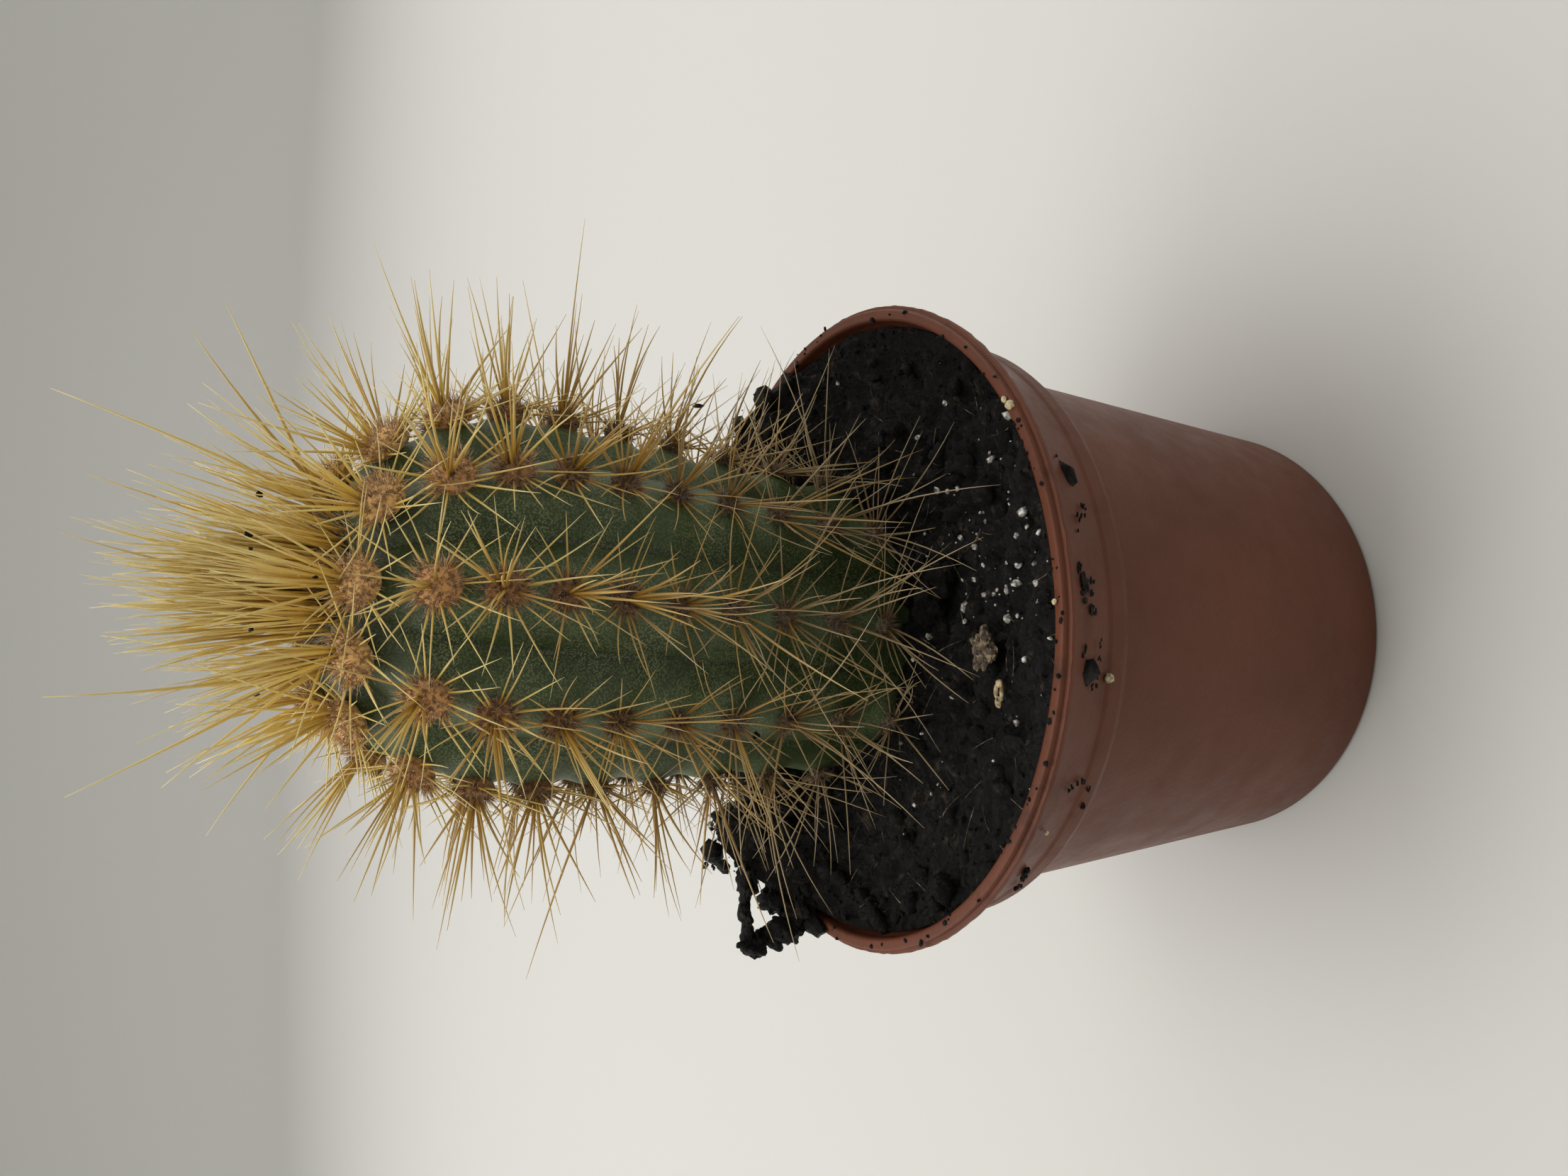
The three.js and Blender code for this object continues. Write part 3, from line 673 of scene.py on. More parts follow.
def rounded(corners, steps=5):
    """Replaces each corner (x, y, fillet radius) of an open outline by an arc."""
    points = [Vector(corner[:2]) for corner in corners]
    outline = [points[0]]
    for before, (here, corner), after in zip(points, list(zip(points, corners))[1:], points[2:]):
        fillet = corner[2]
        to_before = (before - here).normalized()
        to_after = (after - here).normalized()
        half = to_before.angle(to_after) / 2
        cut = min(fillet / math.tan(half), (before - here).length * 0.45, (after - here).length * 0.45)
        if cut < 1e-6:
            outline.append(here)
            continue
        start = here + to_before * cut
        end = here + to_after * cut
        for i in range(steps + 1):
            t = i / steps
            outline.append(start * (1 - t) ** 2 + here * 2 * t * (1 - t) + end * t ** 2)
    outline.append(points[-1])
    return [tuple(point) for point in outline]


class CACTUS_OT_pot(bpy.types.Operator):
    """Turns the nursery pot with its rolled lip, collar band, foot ring and drainage holes"""
    bl_idname = "cactus.pot"
    bl_label = "Nursery pot"

    def execute(self, context):
        pot = context.scene.cactus_pot
        lip_foot = LIP_TOP - pot.lip_depth
        wall = pot.wall
        inner_body_foot = pot.foot_radius - wall
        centre_foot, ring_foot, recess = 11 * MM, 28.5 * MM, 1.3 * MM
        outline = rounded([
            (0, 0, 0),
            (centre_foot, 0, 0.4 * MM),
            (centre_foot + recess, recess, 0.4 * MM),
            (ring_foot, recess, 0.4 * MM),
            (ring_foot + recess, 0, 0.4 * MM),
            (pot.foot_radius - 0.2 * MM, 0, 1.6 * MM),
            (pot.foot_radius, 2 * MM, 1.0 * MM),
            (pot.body_top_radius, pot.body_top_height, 0.5 * MM),
            (pot.band_foot_radius - 0.5 * MM, pot.band_foot_height - 0.9 * MM, 0.35 * MM),
            (pot.band_foot_radius, pot.band_foot_height + 0.2 * MM, 0.5 * MM),
            (pot.band_foot_radius + 0.15 * MM, pot.band_foot_height + 2.2 * MM, 0.4 * MM),
            (pot.band_foot_radius + 0.02 * MM, pot.band_foot_height + 2.8 * MM, 0.4 * MM),
            (pot.band_top_radius, lip_foot - 0.2 * MM, 0.25 * MM),
            (LIP_RADIUS - 0.12 * MM, lip_foot + 0.1 * MM, 0.3 * MM),
            (LIP_RADIUS, lip_foot + 0.95 * MM, 0.25 * MM),
            (LIP_RADIUS - 0.55 * MM, lip_foot + 0.98 * MM, 0.12 * MM),
            (LIP_RADIUS - 0.62 * MM, LIP_TOP - 0.05 * MM, 0.55 * MM),
            (pot.throat_radius + 0.05 * MM, LIP_TOP + 0.02 * MM, 0.8 * MM),
            (pot.throat_radius, lip_foot, 0.3 * MM),
            (pot.band_foot_radius - wall, pot.band_foot_height + wall, 0.8 * MM),
            (pot.body_top_radius - wall, pot.body_top_height + wall, 0.8 * MM),
            (inner_body_foot, pot.floor_top, 1.5 * MM),
            (0, pot.floor_top, 0),
        ])

        def wobble(radius, height, turn):
            """The wall is never quite round, and the flash on the lip's edge is ragged."""
            around = Vector((math.cos(turn), math.sin(turn), 0))
            share = min(height / lip_foot, 1)
            out = 0.25 * MM * share * noise.noise(around * 1.3)
            lift = 0.1 * MM * share * noise.noise(around * 2.2 + Vector((5, 0, 0)))
            if radius > LIP_RADIUS - 0.3 * MM:
                out += 0.14 * MM * noise.noise(around * 34) + 0.08 * MM * noise.noise(around * 90)
                lift += 0.06 * MM * noise.noise(around * 60 + Vector((0, 7, 0)))
            return out, lift

        piece = turned_mesh("nursery_pot", outline, 256, moulded_polypropylene(pot.plastic), wobble)
        self.drill(piece)
        declare(piece, "pot_plastic", "pot")
        return {"FINISHED"}

    def drill(self, piece):
        holes, hole_radius, circle_radius = 6, 3.1 * MM, 20 * MM
        build = bmesh.new()
        for i in range(holes):
            turn = i * math.tau / holes
            place = Matrix.Translation((circle_radius * math.cos(turn), circle_radius * math.sin(turn), 0))
            bmesh.ops.create_cone(
                build, cap_ends=True, segments=28, radius1=hole_radius, radius2=hole_radius,
                depth=12 * MM, matrix=place)
        cutter_mesh = bpy.data.meshes.new("drain_cutter")
        build.to_mesh(cutter_mesh)
        build.free()
        cutter = bpy.data.objects.new("drain_cutter", cutter_mesh)
        bpy.context.scene.collection.objects.link(cutter)
        cut = piece.modifiers.new("drain_holes", "BOOLEAN")
        cut.operation = "DIFFERENCE"
        cut.object = cutter
        cut.solver = "EXACT"
        graph = bpy.context.evaluated_depsgraph_get()
        drilled = bpy.data.meshes.new_from_object(piece.evaluated_get(graph), depsgraph=graph)
        piece.modifiers.clear()
        piece.data = drilled
        bpy.data.objects.remove(cutter)


def heap(x, y, centre_x, centre_y, height, spread):
    return height * math.exp(-((x - centre_x) ** 2 + (y - centre_y) ** 2) / (2 * spread ** 2))


def soil_top(x, y, level):
    """Height of the soil without its grain.

    It is level, with two heaps behind the stem, a hollow in front and a creep up the wall at the
    sides and the back.
    """
    x, y = x / MM, y / MM
    distance = max(math.hypot(x, y), 1)
    share = min(max((distance - 33) / 9, 0), 1)
    creep = 3 * share * share * (3 - 2 * share) * min(max(1 + y / distance, 0), 1)
    behind_left = heap(x, y, -34, 19, 13, 8)
    behind_right = heap(x, y, 32, 27, 7.5, 8)
    front_hollow = heap(x, y, 20, -18, -1.5, 11)
    return level + (behind_left + behind_right + front_hollow + creep) * MM


def soil_grain(place):
    """Lumps and knobs of the peat surface, coarser on the heaps."""
    heaped = min(max(soil_top(place.x, place.y, 0) / (4 * MM), 0), 1)
    lumps = noise.fractal(place * pattern_scale(8), 0.9, 2.1, 3) * (1.4 + 0.8 * heaped) * MM
    knobs = noise.turbulence(place * pattern_scale(4.2), 4, True) * (1.7 + 0.8 * heaped) * MM
    return lumps + knobs - 1.2 * MM


class CACTUS_OT_soil(bpy.types.Operator):
    """Fills the pot with peat mix and strews crumbs, perlite and fibres over it"""
    bl_idname = "cactus.soil"
    bl_label = "Potting soil"

    def execute(self, context):
        soil = context.scene.cactus_soil
        pot = context.scene.cactus_pot
        stem = context.scene.cactus_stem
        peat = moist_peat(soil.peat)
        columns, rows = 420, 60
        gap = 0.3 * MM
        lip_foot = LIP_TOP - pot.lip_depth

        def wall_radius(height):
            if height < pot.body_top_height + pot.wall:
                rise = (height - pot.floor_top) / (pot.body_top_height - pot.floor_top)
                return pot.foot_radius + (pot.body_top_radius - pot.foot_radius) * min(rise, 1) - pot.wall
            rise = min((height - pot.band_foot_height) / (lip_foot - pot.band_foot_height), 1)
            return pot.band_foot_radius + (pot.band_top_radius - pot.band_foot_radius) * rise - pot.wall

        def ring(radius, height):
            return [Vector((radius * math.sin(i * math.tau / columns), -radius * math.cos(i * math.tau / columns),
                            height)) for i in range(columns)]

        bottom = pot.floor_top + gap
        rings = [
            ring(wall_radius(bottom) - 2 * gap, bottom),
            ring(pot.body_top_radius - pot.wall - 2 * gap, pot.body_top_height + pot.wall),
            ring(wall_radius(pot.band_foot_height + pot.wall) - 3 * gap, pot.band_foot_height + 2 * pot.wall),
            ring(wall_radius(65 * MM) - gap, 65 * MM),
        ]
        edge = []
        for point in ring(pot.throat_radius, 0):
            height = soil_top(point.x, point.y, soil.level)
            overhang = max(height - lip_foot, 0)
            radius = min(wall_radius(height), pot.throat_radius) - gap - 0.35 * overhang
            side = Vector((point.x, point.y, 0)).normalized()
            edge.append(side * radius + Vector((0, 0, height)))
        socket = [stem_point(1 * MM, i * math.tau / columns, stem.foot_radius - 0.6 * MM) for i in range(columns)]
        for row in range(rows + 1):
            share = row / rows
            around = []
            for outer, inner in zip(edge, socket):
                point = outer.lerp(inner, share)
                smooth = soil_top(point.x, point.y, soil.level)
                point.z = smooth + soil_grain(Vector((point.x, point.y, 0))) * min(share * 8 + 0.3, 1)
                around.append(point)
            rings.append(around)
        socket_floor = stem_point(-6 * MM, 0, 0)
        rings.append([point.lerp(socket_floor, 0.5) for point in socket])
        vertices, faces = skin_over_rings(Vector((0, 0, bottom)), rings, socket_floor)
        piece = to_mesh_object("peat_plug", vertices, faces, peat)
        declare(piece, "peat_mix", "potting_soil")
        self.strew(soil, pot, stem, peat)
        return {"FINISHED"}

    def strew(self, soil, pot, stem, peat):
        """Crumbs, perlite and fibres, each on a random free spot of the surface."""
        draw = np.random.default_rng(soil.seed)
        axis = STEM_FOOT + STEM_DIRECTION * MM
        reach = pot.throat_radius - 1.2 * MM

        def spots(count, favour=None):
            places = []
            while len(places) < count:
                x, y = draw.uniform(-reach, reach, 2)
                inside = math.hypot(x, y) < reach
                clear = math.hypot(x - axis.x, y - axis.y) > stem.foot_radius - 1.5 * MM
                wanted = favour is None or draw.random() < favour(x, y)
                if inside and clear and wanted:
                    z = soil_top(x, y, soil.level) + soil_grain(Vector((x, y, 0)))
                    places.append((x, y, z))
            return places

        def strewn(name, places, sizes, material, sunk, raggedness):
            sizes = np.asarray(sizes)
            lifted = [(x, y, z + size.mean() * sunk) for (x, y, z), size in zip(places, sizes)]
            cloud = point_cloud(
                name + "_spots", lifted, size=sizes, grain=sizes.mean(axis=1),
                turn=draw.uniform(0, math.tau, (len(places), 3)))
            piece = grow(cloud, crumb_tree(), material, name, Raggedness=raggedness)
            declare(piece, "peat_mix")

        def heaps(x, y):
            return 0.35 + (soil_top(x, y, 0) > 2 * MM)

        count = soil.crumbs
        sizes = 0.12 * MM + 0.4 * MM * draw.random((count, 1)) ** 2.5 * np.ones((1, 3))
        sizes[:soil.lumps] = draw.uniform(0.8, 2.2, (soil.lumps, 1)) * MM
        strewn("peat_crumbs", spots(count, heaps), sizes * draw.uniform(0.45, 1.2, (count, 3)), peat, 0.0, 1.3)

        def front_right(x, y):
            main = math.exp(-((x - 12 * MM) ** 2 + (y + 26 * MM) ** 2) / (2 * (9 * MM) ** 2))
            knot = math.exp(-((x - 15 * MM) ** 2 + (y + 19 * MM) ** 2) / (2 * (2.4 * MM) ** 2))
            return 0.02 + 0.55 * main + 1.6 * knot

        count = soil.perlite
        sizes = 0.15 * MM + 0.62 * MM * draw.random((count, 1)) ** 2.3 * np.ones((1, 3))
        strewn("perlite_grains", spots(count, front_right), sizes * draw.uniform(0.55, 1.2, (count, 3)),
               expanded_perlite(), 0.4, 1.5)

        places = spots(soil.fibres)
        turns = draw.uniform(0, math.tau, soil.fibres)
        lifts = draw.uniform(-0.1, 0.35, soil.fibres)
        aims = np.stack([np.cos(turns), np.sin(turns), lifts], 1)
        reaches = draw.uniform(1.5, 6, soil.fibres) * MM
        sags = draw.normal(0, 0.22, (soil.fibres, 3)) * reaches[:, None]
        cloud = point_cloud(
            "fibre_spots", places, aim=aims, reach=reaches, sag=sags,
            thick=draw.uniform(0.05, 0.11, soil.fibres) * MM, tone=np.full(soil.fibres, 0.9))
        piece = grow(cloud, spine_tree(), weathered_bark(), "peat_fibres", Sides=4, Segments=6)
        declare(piece, "peat_mix")


class CACTUS_OT_loose_bits(bpy.types.Operator):
    """Shapes the root mat over the lip, the bark chip, the seed husk and the specks of peat"""
    bl_idname = "cactus.loose_bits"
    bl_label = "Clod, chip, husk and specks"

    # a foot on the lip, a stalk, a knob and a strand back to the heap: centre and half sizes in mm
    ROOT_MAT = [
        ((-42.0, 10.6, 73.0), (3.6, 4.6, 2.6)),
        ((-40.2, 14.2, 74.2), (3.4, 3.6, 3.0)),
        ((-44.4, 10.4, 75.4), (2.1, 2.8, 2.6)),
        ((-45.4, 10.8, 77.6), (1.9, 2.4, 2.4)),
        ((-46.4, 10.9, 80.2), (1.7, 2.0, 2.2)),
        ((-44.9, 11.4, 81.4), (1.9, 1.5, 1.0)),
        ((-42.6, 12.2, 81.2), (2.2, 1.5, 0.8)),
        ((-39.9, 13.6, 80.6), (2.3, 1.7, 0.9)),
        ((-37.6, 15.2, 79.4), (2.8, 2.6, 1.9)),
        ((-45.9, 10.2, 82.6), (0.6, 0.5, 1.3)),
    ]
    # a wet lump at the front foot of the stem: centre and half sizes in mm
    WET_LUMP = [((3.2, -13.2, 67.4), (3.6, 2.4, 2.4)), ((6.6, -15.2, 66.9), (2.4, 2.0, 1.8)),
                ((-0.6, -15.4, 66.8), (2.2, 1.6, 1.5))]
    # specks caught in the spines: place and half size in mm
    CAUGHT = [
        ((-1.2, 2, 149.6), 0.7), ((7.8, 2, 149.9), 0.6), ((9.5, 3, 150.1), 0.4), ((14.1, 3, 149), 0.5),
        ((4.6, -6, 144.2), 0.6), ((-8.6, 5, 148.6), 0.4), ((18.6, 5, 145.2), 0.4), ((16.4, -3, 104.6), 0.8),
        ((30.1, 5, 93.5), 0.9), ((-20.3, 2, 89.3), 0.8), ((-14.4, -6, 89.8), 0.5), ((28.7, 6, 112), 0.5),
        ((-26, 24, 120), 0.6), ((20, 34, 112), 0.7), ((4, 40, 96), 0.8),
    ]
    # specks stuck on the collar: bearing from the front in degrees, height in mm, half size in mm
    ON_COLLAR = [
        (-51.7, 62.4, 0.7), (-45.5, 64.2, 0.9), (-44, 65, 0.5), (-26.3, 65.1, 0.5), (-25.5, 63.1, 0.6),
        (-8.9, 65.5, 0.3), (-7.8, 64.9, 0.4), (-3.2, 67.4, 0.5), (3.7, 66, 0.9), (2.8, 65.6, 0.6),
        (6.4, 67.5, 1.0), (7.3, 67.1, 0.8), (8.4, 67.8, 0.9), (9.2, 67.7, 0.6), (6.9, 66.2, 0.6),
        (17.2, 66.7, 0.6), (19.6, 65.1, 0.5), (-4.5, 64.3, 0.4), (-2.3, 64.5, 0.4), (28.3, 67.3, 0.15),
        (-30.9, 60.6, 0.4), (-27.4, 60.8, 0.4), (62, 66, 0.6), (95, 64, 0.7), (140, 67, 0.6),
        (171, 65, 0.8), (176, 66, 0.5), (-120, 66, 0.6), (-88, 63, 0.5),
    ]

    def execute(self, context):
        spines = context.scene.cactus_spines
        bark = weathered_bark()
        peat = moist_peat(context.scene.cactus_soil.peat)
        self.root_mat(peat)
        self.lump("pine_bark_chip", "bark_chip", 0.75, pattern_scale(1.8), 4, bark, "bark")
        self.husk()
        self.specks(context.scene.cactus_pot, np.random.default_rng(spines.seed + 5), peat)
        return {"FINISHED"}

    def blobs(self, name, bodies, raggedness, scale, subdivisions, material):
        """Ragged round bodies, each given by its centre and half sizes, in one mesh."""
        build = bmesh.new()
        for centre, half in bodies:
            fresh = bmesh.ops.create_icosphere(build, subdivisions=subdivisions, radius=1)["verts"]
            for vertex in fresh:
                place = Vector(a * b for a, b in zip(vertex.co, half)) + centre
                rough = noise.turbulence(place * scale, 4, True) - 0.45
                vertex.co = centre + (place - centre) * (0.95 + raggedness * rough)
        mesh = bpy.data.meshes.new(name)
        build.to_mesh(mesh)
        build.free()
        mesh.materials.append(material)
        piece = bpy.data.objects.new(name, mesh)
        bpy.context.scene.collection.objects.link(piece)
        return piece

    def lump(self, name, node, raggedness, scale, subdivisions, material, slot):
        """A ragged body that fills the CAD node's box."""
        low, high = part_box(node)
        bodies = [((low + high) / 2, (high - low) / 2)]
        declare(self.blobs(name, bodies, raggedness, scale, subdivisions, material), slot, node)

    def husk(self):
        """A split seed husk: a few thin flakes in the CAD node's box."""
        low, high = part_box("seed_husk")
        centre = (low + high) / 2
        bodies = [(centre + Vector(shift) * MM, Vector(half) * MM) for shift, half in (
            ((-1.0, 0.1, 0), (0.8, 0.6, 0.35)), ((0.2, -0.5, 0), (1.1, 0.35, 0.3)),
            ((0.3, 0.6, 0), (1.0, 0.35, 0.3)), ((1.3, 0.1, -0.1), (0.5, 0.7, 0.3)))]
        declare(self.blobs("split_husk", bodies, 0.4, pattern_scale(1.2), 3, seed_chaff()), "bark", "seed_husk")

    def root_mat(self, peat):
        bodies = [(Vector(centre) * MM, Vector(half) * MM) for centre, half in self.ROOT_MAT]
        declare(self.blobs("root_mat", bodies, 1.0, pattern_scale(2.8), 4, peat), "peat_mix", "soil_clod")

    def specks(self, pot, draw, peat):
        """Peat caught in the spines, stuck on the collar and lying on the lip."""
        bodies = []
        for place, half in self.CAUGHT:
            bodies.append((Vector(place) * MM, Vector(draw.uniform(0.25, 1.2, 3)) * half * MM))
        for bearing, height, half in self.ON_COLLAR:
            rise = (height * MM - pot.band_foot_height) / (LIP_TOP - pot.lip_depth - pot.band_foot_height)
            radius = pot.band_foot_radius + (pot.band_top_radius - pot.band_foot_radius) * rise
            turn = math.radians(bearing)
            place = Vector((radius * math.sin(turn), -radius * math.cos(turn), height * MM))
            along = Vector((math.cos(turn), math.sin(turn), 0))
            for _ in range(5):
                shift = along * draw.normal(0, 0.8) + Vector((0, 0, draw.normal(0, 0.4)))
                wide, tall = draw.uniform(0.2, 0.6), draw.uniform(0.12, 0.4)
                flake = Vector((abs(along.x) * wide, abs(along.y) * wide, tall)) * half
                bodies.append((place + shift * half * MM, (flake + Vector((0.1, 0.1, 0))) * MM))
        for _ in range(90):
            turn = draw.normal(0.15, 0.8) if draw.random() < 0.6 else draw.uniform(0, math.tau)
            radius = draw.uniform(pot.throat_radius - 0.2 * MM, LIP_RADIUS - 0.6 * MM)
            place = Vector((radius * math.sin(turn), -radius * math.cos(turn), LIP_TOP))
            bodies.append((place, Vector(draw.uniform(0.4, 1, 3)) * draw.uniform(0.15, 0.5) * MM))
        declare(self.blobs("stray_peat", bodies, 0.9, pattern_scale(0.5), 2, peat), "peat_mix")
        wet = [(Vector(centre) * MM, Vector(half) * MM) for centre, half in self.WET_LUMP]
        declare(self.blobs("wet_lump", wet, 0.7, pattern_scale(3.2), 4, peat), "peat_mix")
        grains = []
        for bearing, height, radius, half in (
                (-7.8, 62.1, 41.6, 0.62), (-34, 66.5, 42.9, 0.35), (36.5, 72.4, 44, 0.6), (38, 72.5, 43.7, 0.4),
                (4, 72.5, 43.4, 0.35), (-150, 63, 41.8, 0.45)):
            turn = math.radians(bearing)
            place = Vector((radius * math.sin(turn), -radius * math.cos(turn), height)) * MM
            grains.append((place, Vector((half, half, half * 0.8)) * MM))
        declare(self.blobs("stray_grit", grains, 0.5, pattern_scale(0.6), 3, quartz_grit()), "peat_mix")


class CACTUS_OT_stem(bpy.types.Operator):
    """Raises the smooth stem and presses its ribs and scallops in"""
    bl_idname = "cactus.stem"
    bl_label = "Ribbed stem"

    def execute(self, context):
        stem = context.scene.cactus_stem
        columns, side_rows, dome_rows = 360, 170, 70
        buried = 6 * MM
        heights = [-buried + i * (stem.shoulder_height + buried) / side_rows for i in range(side_rows)]
        heights += [stem.shoulder_height + stem.dome_height * math.sin(i * math.pi / 2 / dome_rows)
                    for i in range(dome_rows)]
        per_rib = columns // RIBS
        rings, across, wave, rise, share, outward = [], [0], [0], [0], [0], [(0, 0, 0)]
        for height in heights:
            crest = crest_radius(stem, height)
            ring = []
            for column in range(columns):
                turn = FIRST_RIB_TURN + column * math.tau / columns
                rib = ((column + per_rib // 2) // per_rib) % RIBS
                offset = (column + per_rib // 2) % per_rib - per_rib // 2
                ring.append(stem_point(height, turn, crest))
                across.append(abs(offset) / (per_rib / 2))
                wave.append(0.5 - 0.5 * math.cos(math.tau * tier_at(rib, height)))
                rise.append(min(max(height / stem.shoulder_height, 0), 1))
                share.append(min(crest / stem.shoulder_radius, 1))
                outward.append(stem_outward(turn))
            rings.append(ring)
        apex = stem_point(stem.shoulder_height + stem.dome_height, 0, 0)
        vertices, faces = skin_over_rings(stem_point(-buried, 0, 0), rings, apex)
        skin = waxy_epidermis(stem.skin, stem.bloom)
        blank = to_mesh_object("stem_blank", vertices, faces, skin)
        for key, values in (("across", across), ("wave", wave), ("rise", rise), ("share", share)):
            blank.data.attributes.new(key, "FLOAT", "POINT").data.foreach_set("value", values + [0])
        flat = [part for vector in outward + [(0, 0, 0)] for part in vector]
        blank.data.attributes.new("outward", "FLOAT_VECTOR", "POINT").data.foreach_set("vector", flat)
        piece = grow(blank, rib_tree(), skin, "ribbed_stem", **{
            "Depth Foot": stem.rib_depth_foot, "Depth Shoulder": stem.rib_depth_shoulder,
            "Scallop": stem.scallop})
        declare(piece, "cactus_skin", "stem")
        return {"FINISHED"}


class SpineBed:
    """Collects spines as rows of root, aim, length, thickness, sag and tone."""

    def __init__(self, throat=None, level=None):
        self.throat, self.level = throat, level
        self.roots, self.aims, self.reaches, self.thicks, self.sags, self.tones = [], [], [], [], [], []

    def add(self, root, aim, reach, thick, sag, tone):
        if self.throat and root.z < LIP_TOP + 20 * MM:
            aim, reach = clear_of_pot(root, aim, reach, sag, self.throat, self.level)
        self.roots.append(root)
        self.aims.append(aim)
        self.reaches.append(reach)
        self.thicks.append(thick)
        self.sags.append(sag)
        self.tones.append(tone)

    def grow(self, name, material, **inputs):
        cloud = point_cloud(
            name + "_roots", self.roots, aim=self.aims, reach=self.reaches, thick=self.thicks,
            sag=self.sags, tone=self.tones)
        return grow(cloud, spine_tree(), material, name, **inputs)


def clear_of_pot(root, aim, reach, sag, throat, level):
    """Lifts and shortens a low spine until it passes over the soil and the lip."""
    for _ in range(16):
        blocked = False
        for share in (0.4, 0.6, 0.8, 1.0):
            point = root + aim * reach * share + sag * share ** 2
            distance = math.hypot(point.x, point.y)
            if distance > throat - 0.6 * MM and distance < LIP_RADIUS + 6 * MM:
                blocked = blocked or point.z < LIP_TOP + 0.4 * MM
            elif distance < throat:
                blocked = blocked or point.z < soil_top(point.x, point.y, level) + 0.3 * MM
        if not blocked:
            break
        aim = (aim + Vector((0, 0, 0.14))).normalized()
        reach *= 0.96
    return aim, reach


def tilted(normal, up, tilt, bearing):
    """A direction tilt off normal, towards bearing, counted from up."""
    side = up.cross(normal)
    away = up * math.cos(bearing) + side * math.sin(bearing)
    return (normal * math.cos(tilt) + away * math.sin(tilt)).normalized()


class CACTUS_OT_areoles(bpy.types.Operator):
    """Puts a felted wool cushion on every areole"""
    bl_idname = "cactus.areoles"
    bl_label = "Areole wool"

    def execute(self, context):
        stem = context.scene.cactus_stem
        spines = context.scene.cactus_spines
        draw = np.random.default_rng(spines.seed + 1)
        wool = areole_wool()
        bed = SpineBed()
        pads, turns, sizes, tones = [], [], [], []
        for place, normal, up, age, rib, tier in areoles(stem):
            half_width = (3.6 - 1.9 * min(age * 1.8, 1)) * MM
            rise = (2.1 - 1.1 * age) * MM
            # the youngest cushions bulge out below their spines
            bulge = max(1 - 4 * age, 0)
            place = place + (normal * 0.9 - up * 1.1) * bulge * MM
            pads.append(place)
            turns.append(normal.to_track_quat("Z", "Y").to_euler())
            sizes.append((half_width * 0.76, half_width * 0.84, rise * 0.8))
            tones.append(age)
            for _ in range(int(spines.felt_hairs * (1.7 - age))):
                lean = math.acos(1 - draw.uniform(0, 0.98))
                bearing = draw.uniform(0, math.tau)
                flat = tilted(normal, up, math.pi / 2, bearing)
                root = place + flat * math.sin(lean) * half_width * 0.8 + normal * math.cos(lean) * rise * 0.75
                aim = tilted(normal, up, lean * 0.95 + draw.normal(0, 0.35), bearing + draw.normal(0, 0.3))
                reach = draw.uniform(0.7, 2.0) * (1.1 - 0.35 * age) * MM
                sag = Vector(draw.normal(0, 0.3, 3)) * reach
                bed.add(root, aim, reach, 0.07 * MM, sag, min(max(age + draw.normal(0, 0.1), 0), 1))
        crown = stem.shoulder_height + stem.dome_height
        for _ in range(1300):
            spot = draw.uniform(0, 1) ** 0.5
            bearing = draw.uniform(0, math.tau)
            radius = 11.5 * MM * spot
            height = dome_height_at(stem, radius)
            root = stem_point(height, bearing, radius)
            aim = tilted(STEM_DIRECTION, STEM_SIDE, spot * 0.9 + draw.normal(0, 0.2), bearing - math.pi / 2)
            reach = draw.uniform(1.2, 2.6) * MM
            bed.add(root, aim, reach, 0.055 * MM, Vector(draw.normal(0, 0.25, 3)) * reach, 0.04)
        piece = bed.grow("areole_wool_hairs", wool, **{"Sides": 3, "Segments": 2, "Tip Share": 0.0})
        declare(piece, "spine")
        cloud = point_cloud("pad_spots", pads, turn=turns, size=sizes, grain=[0.5 * MM] * len(pads), tone=tones)
        piece = grow(cloud, crumb_tree(), wool, "areole_pads", Roundness=3, Raggedness=0.8)
        declare(piece, "spine")
        return {"FINISHED"}


